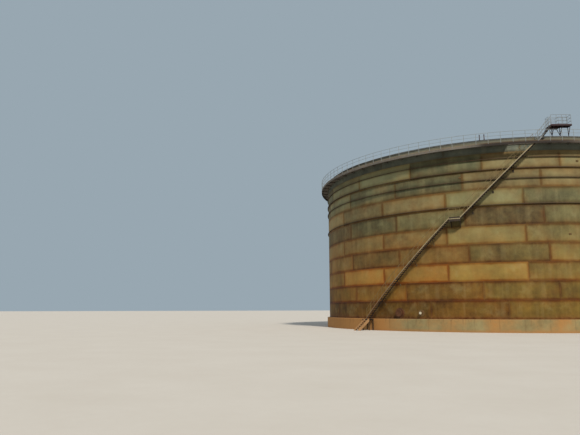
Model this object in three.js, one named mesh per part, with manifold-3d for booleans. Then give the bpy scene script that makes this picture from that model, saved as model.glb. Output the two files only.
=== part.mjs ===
// Vertical storage tank: an open-topped welded steel tank on a concrete ring wall, with a
// spiral stair, stiffening rings, a wind girder, a gauging platform and a floating roof that
// stands low on its legs. It is a 1:2 scale model of a tank 46 m across.
//
// Every size below is the real tank's, in millimetres. The exported group scales it by SCALE.
// Heights are measured from the foot of the shell. An azimuth of 0 faces -Y, and azimuths grow
// towards +X, so a point lies at (radius sin a, -radius cos a). Azimuths are in degrees.

import * as THREE from "three";
import { mergeVertices } from "three/addons/utils/BufferGeometryUtils.js";
import Module from "manifold-3d";

const wasm = await Module();
wasm.setup();

const SCALE = 1 / 2;

// Touching pieces keep this clearance, which is 0.3 mm in the model.
const GAP = 0.6;

// Round pieces are polygons with a corner at every multiple of this azimuth.
const FACET = 6;

// Shell
const SHELL_RADIUS = 23000;
const SHELL_THICKNESS = 16;
const SHELL_HEIGHT = 19350;
const SHELL_SEGMENTS = 10;
const SHELL_OUTSIDE = SHELL_RADIUS + SHELL_THICKNESS;

// Foundation and tank bottom
const RING_WALL = { inside: 22600, outside: 23360, height: 1350 };
const BOTTOM_PLATE = { radius: 23090, thickness: 12 };
const GROUND = -RING_WALL.height;

// Stiffening rings: heights of their top faces
const RING_HEIGHTS = [12100, 14890, 16000, 17160];
const RING = { width: 130, depth: 60, thickness: 12 };
const CURB = { width: 100, depth: 30 };

// Wind girder, whose top is the walkway
const WALKWAY = 18600;
const GIRDER = { outside: 24000, plate: 16, flange: 230 };
const STAIR_OPENING = { from: -13.1, to: -6.6, inside: 23100, outside: 23930 };

// The girder and its railing are split here. The narrow sector holds the stair opening.
const SECTOR_EDGES = [-180, -102, -24, 6, 96, 180];

// Railing on the outer edge of the wind girder. Its posts are slimmer than its rails.
const RAILING = { outside: 23995, section: 40, slimmer: 4, rails: [640, 1250] };

// Spiral stair. Its pitch line runs through the front edges of the treads, whose ends go into
// the stringers by sunk. Where the stringers are shallow, the treads' back corners show below.
const STAIR = {
  inside: 23250,
  outside: 23870,
  stringer: 20,
  above: 50,
  below: 120,
  tread: 188,
  treadThickness: 40,
  sunk: 8,
  facet: 2,
};
const LOWER_FLIGHT = { from: -55.95, to: -28.8, foot: 0, top: 10860, risers: 54 };
const UPPER_FLIGHT = { from: -25.98, to: -6.6, foot: 10860, top: WALKWAY, risers: 39 };

// The stringers end here, where their lower edge meets the top of the ring wall.
const STRINGER_START = -55.75;

// Triangular brackets under the flights, a fixed step apart from the last one upwards
const STAIR_BRACKET = {
  last: -12.1,
  every: 5.4,
  depth: 790,
  foot: 60,
  lip: 70,
  inset: 10,
  thickness: 24,
  drop: 60,
};
const LANDING = { plate: 16, beam: 180, bracketDepth: 1050, bracketInset: 0.2 };
const HANDRAIL = { height: 1000, middle: 520, pipe: 44, post: 38, every: 3, inset: 10 };

// No bracket or post of the stair stands nearer than this to the end of a flight.
const STAIR_END = 1;

// Landing beside the ring wall at the foot of the stair, with straight steps to the ground
const FOOT = {
  from: -56.9,
  to: -54,
  inside: RING_WALL.outside + GAP,
  outside: 24100,
  deck: -20,
  plate: 40,
  leg: 80,
  beam: 180,
  inset: 5,
};
const STEPS = { azimuth: -54.9, width: 700, risers: 7, going: 250, tread: 260, stringer: 24 };

// Gauging platform above the top of the shell. Its left bay reaches further inwards.
const PLATFORM = {
  from: -2.3,
  to: 3.1,
  bayTo: 0.7,
  bayInside: 22300,
  inside: 22960,
  outside: 23760,
  deck: 20450,
  plate: 16,
  beam: 120,
  beamWidth: 60,
};
const PLATFORM_EDGE = 0.12;

// Frames that carry the platform from the shell's top edge. Each has arms in its radial plane.
const FRAME_FOOT = { radius: 23040, plate: 16, width: 160, depth: 120, armStart: 70 };
const FRAMES = [
  { azimuth: -1.45, post: true, arms: [22420, 23640] },
  { azimuth: 0.68, post: true, arms: [22420, 23640] },
  { azimuth: PLATFORM.to - PLATFORM_EDGE, post: false, arms: [22990, 23440] },
];
const FRAME_BAR = 56;

const PLATFORM_RAILING = { height: 1100, rail: 36, inset: 10, slimmer: 3, middle: -0.8 };
const PLATFORM_STAIR = {
  from: -6,
  to: PLATFORM.from,
  foot: WALKWAY,
  top: PLATFORM.deck,
  inside: 23160,
  outside: 23750,
  stringer: 16,
  above: 30,
  below: 130,
  risers: 8,
  tread: 200,
  treadThickness: 30,
  sunk: 6,
  railHeight: 936,
  rail: 34,
  railSunk: 60,
};

// Manhole and nozzle on the lowest course
const MANHOLE = { azimuth: -45, height: 640, bore: 300, neck: 12, flange: 400, reach: 230 };
const NOZZLE = { azimuth: -38.25, height: 650, bore: 130, neck: 8, flange: 200, reach: 250 };
const FLANGE_THICKNESS = 28;
const MANHOLE_COVER = 26;
const NOZZLE_COVER = 24;

// How far a neck stands into the tank
const NECK_INSIDE = 60;

// Floating roof, standing on its legs close above the tank bottom
const ROOF = {
  pontoonInside: 20700,
  pontoonOutside: 22780,
  pontoonFoot: 1850,
  pontoonHeight: 700,
  deckHeight: 2100,
  deckThickness: 12,
  sealDrop: 60,
  sealDepth: 420,
  legRadius: 60,
  legAbove: 600,
  legCircle: 14000,
  legCount: 6,
};

const radians = THREE.MathUtils.degToRad;
const degrees = THREE.MathUtils.radToDeg;

// The azimuth that one gap takes up at the shell.
const GAP_ANGLE = degrees(GAP / SHELL_RADIUS);

function polar(radius, azimuth, height) {
  const a = radians(azimuth);
  return new THREE.Vector3(radius * Math.sin(a), -radius * Math.cos(a), height);
}

// Stations from one azimuth to another, at both ends and at each multiple of step between.
function stations(from, to, step = FACET, rise = () => 0) {
  const azimuths = [from];
  for (let a = (Math.floor(from / step) + 1) * step; a < to - 1e-6; a += step) {
    if (a - from > 1e-6) azimuths.push(a);
  }
  azimuths.push(to);
  return azimuths.map((azimuth) => ({ azimuth, rise: rise(azimuth) }));
}

// Stations all the way round.
function fullTurn() {
  return stations(0, 360).slice(0, -1);
}

// Carries an outline of [radius, height] points, anticlockwise, round the tank's axis.
function sweep(outline, path, closed = false) {
  const positions = [];
  for (const { azimuth, rise } of path) {
    for (const [radius, height] of outline) {
      positions.push(...polar(radius, azimuth, height + rise).toArray());
    }
  }
  const n = outline.length;
  const spans = closed ? path.length : path.length - 1;
  const index = [];
  for (let i = 0; i < spans; i += 1) {
    const here = i * n;
    const next = ((i + 1) % path.length) * n;
    for (let j = 0; j < n; j += 1) {
      const k = (j + 1) % n;
      index.push(next + j, next + k, here + k, next + j, here + k, here + j);
    }
  }
  if (!closed) {
    const contour = outline.map(([radius, height]) => new THREE.Vector2(radius, height));
    const end = spans * n;
    for (const [a, b, c] of THREE.ShapeUtils.triangulateShape(contour, [])) {
      index.push(a, b, c, end + c, end + b, end + a);
    }
  }
  const geometry = new THREE.BufferGeometry();
  geometry.setAttribute("position", new THREE.Float32BufferAttribute(positions, 3));
  geometry.setIndex(index);
  return geometry;
}

// A rectangular outline for sweep.
function rectangle(inside, outside, bottom, top) {
  return [
    [inside, bottom],
    [outside, bottom],
    [outside, top],
    [inside, top],
  ];
}

// A square bar's outline for sweep, centred on a radius and a height.
function squareBar(radius, height, width) {
  const half = width / 2;
  return rectangle(radius - half, radius + half, height - half, height + half);
}

// A straight-sided block, square to the radius at its azimuth.
function block(azimuth, inside, outside, width, bottom, top) {
  const geometry = new THREE.BoxGeometry(width, outside - inside, top - bottom);
  geometry.translate(0, -(inside + outside) / 2, (bottom + top) / 2);
  geometry.rotateZ(radians(azimuth));
  return geometry;
}

// A square post that is centred on a radius.
function post(azimuth, radius, width, bottom, top) {
  return block(azimuth, radius - width / 2, radius + width / 2, width, bottom, top);
}

// A flat plate from [radius, height] points, standing in the radial plane at its azimuth or
// beside it.
function radialPlate(azimuth, points, thickness, beside = 0) {
  const shape = new THREE.Shape(points.map(([r, h]) => new THREE.Vector2(r, h)));
  const geometry = new THREE.ExtrudeGeometry(shape, { depth: thickness, bevelEnabled: false });
  geometry.translate(0, 0, beside - thickness / 2);
  geometry.rotateX(Math.PI / 2);
  geometry.rotateZ(radians(azimuth - 90));
  return geometry;
}

// A square or many-sided bar between two points.
function bar(start, end, width, sides = 4) {
  const along = new THREE.Vector3().subVectors(end, start);
  const radius = sides === 4 ? width / Math.SQRT2 : width / 2;
  const geometry = new THREE.CylinderGeometry(radius, radius, along.length(), sides, 1);
  geometry.rotateY(Math.PI / 4);
  const turn = new THREE.Quaternion();
  turn.setFromUnitVectors(new THREE.Vector3(0, 1, 0), along.normalize());
  geometry.applyQuaternion(turn);
  const middle = new THREE.Vector3().addVectors(start, end).multiplyScalar(0.5);
  geometry.translate(middle.x, middle.y, middle.z);
  return geometry;
}

// A round slab about the tank's axis, with its top face at a height.
function disc(radius, thickness, top) {
  const geometry = new THREE.CylinderGeometry(radius, radius, thickness, 360 / FACET);
  geometry.rotateX(Math.PI / 2);
  geometry.translate(0, 0, top - thickness / 2);
  return geometry;
}

// A lathe profile of [radius, distance] points, set along the tank's radius.
function onRadius(profile, azimuth, height, root) {
  const points = profile.map(([r, d]) => new THREE.Vector2(r, d));
  const geometry = new THREE.LatheGeometry(points, 16);
  geometry.rotateX(Math.PI);
  geometry.translate(0, -root, height);
  geometry.rotateZ(radians(azimuth));
  return geometry;
}

function solidOf(geometry) {
  const bare = new THREE.BufferGeometry();
  bare.setAttribute("position", geometry.getAttribute("position"));
  if (geometry.index) bare.setIndex(geometry.index);
  const merged = mergeVertices(bare, 1e-3);
  const mesh = new wasm.Mesh({
    numProp: 3,
    vertProperties: merged.getAttribute("position").array,
    triVerts: new Uint32Array(merged.index.array),
  });
  return new wasm.Manifold(mesh);
}

function geometryOf(solid) {
  const mesh = solid.getMesh();
  const geometry = new THREE.BufferGeometry();
  geometry.setAttribute("position", new THREE.Float32BufferAttribute(mesh.vertProperties, 3));
  geometry.setIndex(new THREE.BufferAttribute(mesh.triVerts, 1));
  return geometry;
}

function joined(geometries) {
  return geometryOf(geometries.map(solidOf).reduce((whole, piece) => whole.add(piece)));
}

function cutBy(geometry, cutters) {
  const tools = cutters.map(solidOf);
  return geometryOf(tools.reduce((left, tool) => left.subtract(tool), solidOf(geometry)));
}

const MATERIALS = {
  plate: { color: 0x7d6a4c, roughness: 0.85, metalness: 0.25 },
  ring: { color: 0x4a3a2c, roughness: 0.9, metalness: 0.2 },
  girder: { color: 0x54453a, roughness: 0.85, metalness: 0.25 },
  rail: { color: 0x8a8478, roughness: 0.7, metalness: 0.3 },
  stair: { color: 0x8f8570, roughness: 0.8, metalness: 0.25 },
  primer: { color: 0x5a2c26, roughness: 0.75, metalness: 0.1 },
  cover: { color: 0xe4e6e2, roughness: 0.6, metalness: 0 },
  concrete: { color: 0xb9ac94, roughness: 0.95, metalness: 0 },
  sand: { color: 0xa08058, roughness: 1, metalness: 0 },
  roof: { color: 0x77614a, roughness: 0.85, metalness: 0.25 },
  seal: { color: 0x202020, roughness: 0.8, metalness: 0 },
};

const tank = new THREE.Group();
const aboveGround = new THREE.Group();
aboveGround.position.z = -GROUND;
tank.add(aboveGround);
tank.scale.setScalar(SCALE);

function addPiece(name, geometry, finish) {
  const mesh = new THREE.Mesh(geometry, new THREE.MeshStandardMaterial(MATERIALS[finish]));
  mesh.name = name;
  aboveGround.add(mesh);
}

function addFoundation() {
  const { inside, outside, height } = RING_WALL;
  const wall = rectangle(inside, outside, GROUND, -GAP);
  addPiece("ring_wall", sweep(wall, fullTurn(), true), "concrete");
  addPiece("foundation_fill", disc(inside - GAP, height - GAP, -GAP), "sand");
  const { radius, thickness } = BOTTOM_PLATE;
  addPiece("bottom_plate", disc(radius, thickness, thickness), "plate");
}

// The round hole that a neck passes through.
function holeCutter({ azimuth, height, bore, neck: wall }) {
  const radius = bore + wall + GAP;
  const reach = 400;
  const profile = [
    [0, 0],
    [radius, 0],
    [radius, 2 * reach],
    [0, 2 * reach],
  ];
  return onRadius(profile, azimuth, height, SHELL_RADIUS - reach);
}

function addShell() {
  const width = 360 / SHELL_SEGMENTS;
  const foot = BOTTOM_PLATE.thickness + GAP;
  const outline = rectangle(SHELL_RADIUS, SHELL_OUTSIDE, foot, SHELL_HEIGHT);
  for (let k = 0; k < SHELL_SEGMENTS; k += 1) {
    const from = -180 + k * width;
    const to = from + width;
    const wall = sweep(outline, stations(from + GAP_ANGLE / 2, to - GAP_ANGLE / 2));
    const holes = [MANHOLE, NOZZLE].filter(({ azimuth }) => azimuth > from && azimuth < to);
    const cut = holes.length ? cutBy(wall, holes.map(holeCutter)) : wall;
    addPiece(`shell_segment_${String(k + 1).padStart(2, "0")}`, cut, "plate");
  }
}

// An angle section with its flat leg at the top and its other leg hanging from the outer edge.
function angleOutline(inside, { width, depth, thickness }, top) {
  const outside = inside + width;
  return [
    [inside, top - thickness],
    [outside - thickness, top - thickness],
    [outside - thickness, top - depth],
    [outside, top - depth],
    [outside, top],
    [inside, top],
  ];
}

function addRings() {
  const inside = SHELL_OUTSIDE + GAP;
  RING_HEIGHTS.forEach((top, k) => {
    const outline = angleOutline(inside, RING, top);
    addPiece(`stiffening_ring_${k + 1}`, sweep(outline, fullTurn(), true), "ring");
  });
  const curb = rectangle(inside, inside + CURB.width, SHELL_HEIGHT - CURB.depth, SHELL_HEIGHT);
  addPiece("curb_angle", sweep(curb, fullTurn(), true), "ring");
}

// The stations of each sector of the girder and its railing.
function sectors() {
  return SECTOR_EDGES.slice(1).map((to, k) =>
    stations(SECTOR_EDGES[k] + GAP_ANGLE / 2, to - GAP_ANGLE / 2),
  );
}

function addWindGirder() {
  const inside = SHELL_OUTSIDE + GAP;
  const section = {
    width: GIRDER.outside - inside,
    depth: GIRDER.flange,
    thickness: GIRDER.plate,
  };
  const { from, to } = STAIR_OPENING;
  const reach = 100;
  const opening = sweep(
    rectangle(STAIR_OPENING.inside, STAIR_OPENING.outside, WALKWAY - reach, WALKWAY + reach),
    stations(from, to, STAIR.facet),
  );
  sectors().forEach((path, k) => {
    const whole = sweep(angleOutline(inside, section, WALKWAY), path);
    const holed = path[0].azimuth < from && path.at(-1).azimuth > to;
    addPiece(`wind_girder_${k + 1}`, holed ? cutBy(whole, [opening]) : whole, "girder");
  });
}

function addWalkwayRailing() {
  const { outside, section, slimmer, rails } = RAILING;
  const inside = outside - section;
  const foot = WALKWAY + GAP;
  const top = WALKWAY + rails.at(-1) - slimmer;
  const half = degrees(section / 2 / outside);
  const upright = (azimuth, width) =>
    block(azimuth, inside + slimmer, outside - slimmer, width, foot, top);
  sectors().forEach((path, k) => {
    const bars = rails.map((height) =>
      sweep(rectangle(inside, outside, WALKWAY + height - section, WALKWAY + height), path),
    );
    const posts = path.slice(1, -1).map(({ azimuth }) => upright(azimuth, section));
    const ends = [path[0].azimuth + half, path.at(-1).azimuth - half];
    posts.push(...ends.map((azimuth) => upright(azimuth, section - slimmer / 2)));
    addPiece(`walkway_railing_${k + 1}`, joined([...bars, ...posts]), "rail");
  });
}

// The height of a flight's line of treads at an azimuth.
function flightHeight({ from, to, foot, top }, azimuth) {
  return foot + ((azimuth - from) / (to - from)) * (top - foot);
}

// The height of the whole stair's line at an azimuth, with the landing in it.
function stairHeight(azimuth) {
  if (azimuth <= LOWER_FLIGHT.to) return flightHeight(LOWER_FLIGHT, azimuth);
  if (azimuth < UPPER_FLIGHT.from) return LOWER_FLIGHT.top;
  return flightHeight(UPPER_FLIGHT, azimuth);
}

// A three-cornered plate under the stair that carries it off the shell.
function stairBracket(azimuth, top, depth = STAIR_BRACKET.depth) {
  const { foot, lip, inset, thickness } = STAIR_BRACKET;
  const root = SHELL_OUTSIDE + GAP;
  const tip = STAIR.outside - inset;
  const points = [
    [root, top - depth],
    [root + foot, top - depth],
    [tip, top - lip],
    [tip, top],
    [root, top],
  ];
  return radialPlate(azimuth, points, thickness);
}

// Two stringers and the treads between them, for a run with a section's sizes.
function stringersAndTreads(run, section, start, end) {
  const { inside, outside, stringer, above, below, tread, treadThickness, sunk } = section;
  const path = stations(start, end, STAIR.facet, (azimuth) => flightHeight(run, azimuth));
  const pieces = [inside, outside - stringer].map((side) =>
    sweep(rectangle(side, side + stringer, -below, above), path),
  );
  const going = (run.to - run.from) / run.risers;
  const step = (run.top - run.foot) / run.risers;
  const ends = [inside + stringer - sunk, outside - stringer + sunk];
  for (let k = 1; k < run.risers; k += 1) {
    const azimuth = run.from + (k + 0.5) * going;
    const height = run.foot + k * step;
    pieces.push(block(azimuth, ...ends, tread, height - treadThickness, height));
  }
  return pieces;
}

function flight(run, start = run.from + GAP_ANGLE) {
  const pieces = stringersAndTreads(run, STAIR, start, run.to - GAP_ANGLE);
  const { last, every, drop, depth } = STAIR_BRACKET;
  for (let azimuth = last; azimuth > run.from + STAIR_END; azimuth -= every) {
    const top = flightHeight(run, azimuth) - drop;
    const onRun = azimuth < run.to - STAIR_END;
    if (onRun && top > depth) pieces.push(stairBracket(azimuth, top));
  }
  return joined(pieces);
}

// The lower flight ends on the ring wall and, further out, on the landing at its foot.
function lowerFlight() {
  const before = 2;
  const path = stations(LOWER_FLIGHT.from - before, LOWER_FLIGHT.to, STAIR.facet);
  const onWall = sweep(rectangle(SHELL_RADIUS - 100, FOOT.inside, GROUND, GAP), path);
  const onDeck = sweep(
    rectangle(FOOT.inside - STAIR.stringer, FOOT.outside, GROUND, FOOT.deck + GAP),
    path,
  );
  return cutBy(flight(LOWER_FLIGHT, STRINGER_START), [onWall, onDeck]);
}

// The upper flight's brackets are cut out round the stiffening rings that they cross.
function upperFlight() {
  const clear = 10;
  const outside = SHELL_OUTSIDE + GAP + RING.width + clear;
  const spaces = RING_HEIGHTS.map((top) =>
    sweep(rectangle(SHELL_RADIUS, outside, top - RING.depth - clear, top + clear), fullTurn(), true),
  );
  return cutBy(flight(UPPER_FLIGHT), spaces);
}

function addLanding() {
  const path = stations(LOWER_FLIGHT.to, UPPER_FLIGHT.from, STAIR.facet);
  const { top } = LOWER_FLIGHT;
  const { plate, beam, bracketDepth, bracketInset } = LANDING;
  const { outside, stringer } = STAIR;
  const brackets = [LOWER_FLIGHT.to + bracketInset, UPPER_FLIGHT.from - bracketInset];
  const pieces = [
    sweep(rectangle(SHELL_OUTSIDE + GAP, outside, top - plate, top), path),
    sweep(rectangle(outside - stringer, outside, top - beam, top), path),
    ...brackets.map((azimuth) => stairBracket(azimuth, top - plate / 2, bracketDepth)),
  ];
  addPiece("stair_landing", joined(pieces), "stair");
}

// The outer handrail, which follows both flights and the landing between them.
function addStairHandrail() {
  const { height, middle, pipe, post: width, every, inset } = HANDRAIL;
  const radius = STAIR.outside - inset;
  const endInset = 0.4;
  const from = LOWER_FLIGHT.from + endInset;
  const to = UPPER_FLIGHT.to - endInset;
  const bends = [LOWER_FLIGHT.to, UPPER_FLIGHT.from];
  const azimuths = new Set(stations(from, to, STAIR.facet).map(({ azimuth }) => azimuth));
  bends.forEach((bend) => azimuths.add(bend));
  const path = [...azimuths]
    .sort((a, b) => a - b)
    .map((azimuth) => ({ azimuth, rise: stairHeight(azimuth) }));
  const pieces = [height, middle].map((level) => sweep(squareBar(radius, level, pipe), path));

  const endPost = 0.1;
  const posts = [from + endPost, to - endPost, ...bends];
  const first = Math.ceil((from + STAIR_END) / every) * every;
  for (let azimuth = first; azimuth < to - STAIR_END; azimuth += every) {
    if (bends.every((bend) => Math.abs(azimuth - bend) > STAIR_END)) posts.push(azimuth);
  }
  const half = degrees(width / 2 / radius);
  const intoRail = 4;
  for (const azimuth of posts) {
    const uphill = Math.max(stairHeight(azimuth), stairHeight(azimuth + half));
    const foot = uphill + STAIR.above + GAP;
    const top = stairHeight(azimuth) + height - intoRail;
    pieces.push(post(azimuth, radius, width, foot, top));
  }
  addPiece("stair_handrail", joined(pieces), "rail");
}

// Straight steps that lead outwards from the landing at the foot of the stair to the ground.
function footSteps() {
  const { outside, deck, plate } = FOOT;
  const { azimuth, width, risers, going, tread, stringer } = STEPS;
  const rise = (deck - GROUND) / risers;
  const embed = stringer / 2;
  const reach = (risers - 1) * going;
  const pieces = [];
  for (let k = 1; k < risers; k += 1) {
    const start = outside + (k - 1) * going;
    const height = deck - k * rise;
    const across = width - 2 * embed;
    pieces.push(block(azimuth, start, start + tread, across, height - plate, height));
  }
  const top = deck - plate / 2;
  const side = [
    [outside - stringer, top],
    [outside - stringer, top - 1.5 * rise],
    [outside + reach - going / 2, GROUND],
    [outside + reach + going, GROUND],
    [outside + reach + going, GROUND + rise / 2],
    [outside + going / 2, top],
  ];
  for (const beside of [-(width - stringer) / 2, (width - stringer) / 2]) {
    pieces.push(radialPlate(azimuth, side, stringer, beside));
  }
  return pieces;
}

// The landing at the foot of the stair, on posts, and the steps that lead down from it.
function addStairFoot() {
  const { from, to, inside, outside, deck, plate, leg, beam, inset } = FOOT;
  const face = outside - inset;
  const edge = 0.1;
  const under = deck - plate / 2;
  const wide = stations(from, to, STAIR.facet);
  const narrower = stations(from + edge, to - edge, STAIR.facet);
  const pieces = [
    sweep(rectangle(inside, outside, deck - plate, deck), wide),
    sweep(rectangle(face - leg / 2, face, deck - beam, under), narrower),
    sweep(rectangle(inside + inset, inside + leg / 2, deck - beam, under), narrower),
  ];
  for (const azimuth of [from + 2 * edge, to - 2 * edge]) {
    pieces.push(block(azimuth, face - leg, face, leg, GROUND, under));
    pieces.push(block(azimuth, inside + 2 * inset, inside + leg, leg, GROUND, under));
  }
  addPiece("stair_foot", joined([...pieces, ...footSteps()]), "stair");
}

function addStair() {
  addPiece("stair_lower_flight", lowerFlight(), "stair");
  addPiece("stair_upper_flight", upperFlight(), "stair");
  addLanding();
  addStairHandrail();
  addStairFoot();
}

// The platform's deck: one plate, cut back at the right of its deep bay.
function addPlatformDeck() {
  const { from, to, bayTo, bayInside, inside, outside, deck, plate } = PLATFORM;
  const beyond = 1;
  const clear = 100;
  const whole = sweep(
    rectangle(bayInside, outside, deck - plate, deck),
    stations(from, to, STAIR.facet),
  );
  const notch = sweep(
    rectangle(bayInside - clear, inside, deck - clear, deck + clear),
    stations(bayTo, to + beyond, STAIR.facet),
  );
  addPiece("platform_deck", cutBy(whole, [notch]), "primer");
}

// One frame on the shell's top edge: a foot plate, arms in the radial plane, often a post.
function platformFrame({ azimuth, post: upright, arms }, top) {
  const { radius, plate, width, depth, armStart } = FRAME_FOOT;
  const foot = SHELL_HEIGHT + GAP;
  const start = polar(radius, azimuth, foot + armStart);
  const half = depth / 2;
  const pieces = [
    block(azimuth, radius - half, radius + half, width, foot, foot + plate),
    post(azimuth, radius, FRAME_BAR, foot + plate / 2, upright ? top : foot + armStart),
    ...arms.map((reach) => bar(start, polar(reach, azimuth, top), FRAME_BAR)),
  ];
  return pieces;
}

// Beams under the platform's deck, and the frames that carry them.
function addPlatformFrame() {
  const { from, to, bayTo, bayInside, inside, outside, deck, plate } = PLATFORM;
  const { beam, beamWidth } = PLATFORM;
  const top = deck - plate - GAP;
  const foot = top - beam;
  const embed = 10;
  const lower = 4;
  const along = (radius, start, end) =>
    sweep(rectangle(radius, radius + beamWidth, foot, top), stations(start, end, STAIR.facet));
  const across = (azimuth, near) =>
    block(azimuth, near + embed, outside - embed, beamWidth, foot, top - lower);
  const pieces = [
    along(outside - beamWidth, from, to),
    along(bayInside, from, bayTo),
    along(inside, bayTo - PLATFORM_EDGE, to),
    across(from + PLATFORM_EDGE, bayInside),
  ];
  for (const frame of FRAMES) {
    pieces.push(across(frame.azimuth, frame.azimuth < bayTo ? bayInside : inside));
    pieces.push(...platformFrame(frame, foot + 2 * embed));
  }
  addPiece("platform_frame", joined(pieces), "primer");
}

// Railing round the platform's deck, open where the stair arrives.
function addPlatformRailing() {
  const { from, to, bayTo, bayInside, inside, outside, deck } = PLATFORM;
  const { height, rail, inset, slimmer, middle } = PLATFORM_RAILING;
  const near = outside - rail - inset;
  const far = inside + inset;
  const bayFar = bayInside + inset;
  const left = from + PLATFORM_EDGE;
  const right = to - PLATFORM_EDGE;
  const corner = bayTo - PLATFORM_EDGE;
  const doorway = PLATFORM_STAIR.inside - rail;
  const runs = [
    [near, from, to],
    [bayFar, from, bayTo],
    [far, corner - PLATFORM_EDGE / 2, to],
  ];
  const sides = [
    [right, far, near + rail],
    [corner, bayFar, far + rail],
    [left, bayFar, doorway],
  ];
  const pieces = [];
  for (const level of [height / 2, height]) {
    const top = deck + level;
    for (const [radius, start, end] of runs) {
      const ends = [start + PLATFORM_EDGE / 2, end - PLATFORM_EDGE / 2];
      const path = stations(...ends, STAIR.facet);
      pieces.push(sweep(rectangle(radius, radius + rail, top - rail, top), path));
    }
    for (const [azimuth, start, end] of sides) {
      const ends = [start + slimmer, end - slimmer];
      pieces.push(block(azimuth, ...ends, rail, top - rail + slimmer, top - slimmer));
    }
  }
  const columns = [
    [left, bayFar],
    [left, doorway - rail],
    [left, near],
    [middle, near],
    [middle, bayFar],
    [corner, near],
    [corner, bayFar],
    [corner, far],
    [right, near],
    [right, far],
  ];
  const width = rail - 2 * slimmer;
  for (const [azimuth, radius] of columns) {
    pieces.push(post(azimuth, radius + rail / 2, width, deck + GAP, deck + height - slimmer));
  }
  addPiece("platform_railing", joined(pieces), "rail");
}

// The short stair up from the walkway to the platform, with a rail on both sides.
function addPlatformStair() {
  const { from, to, inside, outside, railHeight, rail, railSunk } = PLATFORM_STAIR;
  const run = PLATFORM_STAIR;
  const rise = (azimuth) => flightHeight(run, azimuth);
  const path = stations(from, to - GAP_ANGLE, STAIR.facet, rise);
  const pieces = stringersAndTreads(run, run, from, to - GAP_ANGLE);
  const slimmer = 2;
  const endPost = 0.12;
  const width = rail - 2 * slimmer;
  for (const middle of [inside + rail / 2 + slimmer, outside - rail / 2 - slimmer]) {
    pieces.push(sweep(squareBar(middle, railHeight, rail), path));
    for (const azimuth of [from + endPost, (from + to) / 2, to - endPost]) {
      const height = rise(azimuth);
      pieces.push(post(azimuth, middle, width, height - railSunk, height + railHeight));
    }
  }
  const girder = disc(GIRDER.outside, GIRDER.flange, WALKWAY + GAP);
  addPiece("platform_stair", cutBy(joined(pieces), [girder]), "primer");
}

function addGaugingPlatform() {
  addPlatformDeck();
  addPlatformFrame();
  addPlatformRailing();
  addPlatformStair();
}

// A flanged neck through the shell, made as a lathe about the radius.
function neck({ azimuth, height, bore, neck: wall, flange, reach }) {
  const root = SHELL_RADIUS - NECK_INSIDE;
  const face = SHELL_OUTSIDE + reach - root;
  const profile = [
    [bore, 0],
    [bore + wall, 0],
    [bore + wall, face - FLANGE_THICKNESS],
    [flange, face - FLANGE_THICKNESS],
    [flange, face],
    [bore, face],
    [bore, 0],
  ];
  return onRadius(profile, azimuth, height, root);
}

// A round plate that closes a neck.
function blind({ azimuth, height, flange, reach }, thickness) {
  const profile = [
    [0, 0],
    [flange, 0],
    [flange, thickness],
    [0, thickness],
  ];
  return onRadius(profile, azimuth, height, SHELL_OUTSIDE + reach + GAP);
}

function addShellFittings() {
  addPiece("manhole_neck", neck(MANHOLE), "primer");
  addPiece("manhole_cover", blind(MANHOLE, MANHOLE_COVER), "primer");
  addPiece("nozzle_neck", neck(NOZZLE), "primer");
  addPiece("nozzle_cover", blind(NOZZLE, NOZZLE_COVER), "cover");
}

function addFloatingRoof() {
  const { pontoonInside, pontoonOutside, pontoonFoot, pontoonHeight } = ROOF;
  const pontoonTop = pontoonFoot + pontoonHeight;
  const pontoon = rectangle(pontoonInside, pontoonOutside, pontoonFoot, pontoonTop);
  addPiece("roof_pontoon", sweep(pontoon, fullTurn(), true), "roof");

  const sealTop = pontoonTop - ROOF.sealDrop;
  const sealFoot = sealTop - ROOF.sealDepth;
  const seal = rectangle(pontoonOutside + GAP, SHELL_RADIUS - GAP, sealFoot, sealTop);
  addPiece("roof_rim_seal", sweep(seal, fullTurn(), true), "seal");

  const { deckHeight, deckThickness, legRadius, legAbove, legCircle, legCount } = ROOF;
  const places = [polar(0, 0, 0)];
  for (let k = 0; k < legCount; k += 1) places.push(polar(legCircle, (k * 360) / legCount, 0));
  const foot = BOTTOM_PLATE.thickness + GAP;
  const legs = places.map(({ x, y }) => {
    const start = new THREE.Vector3(x, y, foot);
    const end = new THREE.Vector3(x, y, deckHeight + legAbove);
    return bar(start, end, 2 * legRadius, 6);
  });
  const deck = disc(pontoonInside - GAP, deckThickness, deckHeight);
  addPiece("roof_deck", joined([deck, ...legs]), "roof");
}

addFoundation();
addShell();
addRings();
addWindGirder();
addWalkwayRailing();
addStair();
addGaugingPlatform();
addShellFittings();
addFloatingRoof();

export default tank;
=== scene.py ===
"""The looks of the vertical storage tank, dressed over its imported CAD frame.

Sizes and places are the real tank's, in metres, as in the CAD source: heights are measured from
the foot of the shell, an azimuth of 0 faces -Y, and azimuths grow towards +X and are in degrees.
at() turns them into the 1:2 model. Each detailed piece stands in for the CAD node it is named
after, and keeps to that node's place.
"""

import math
import random

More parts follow.
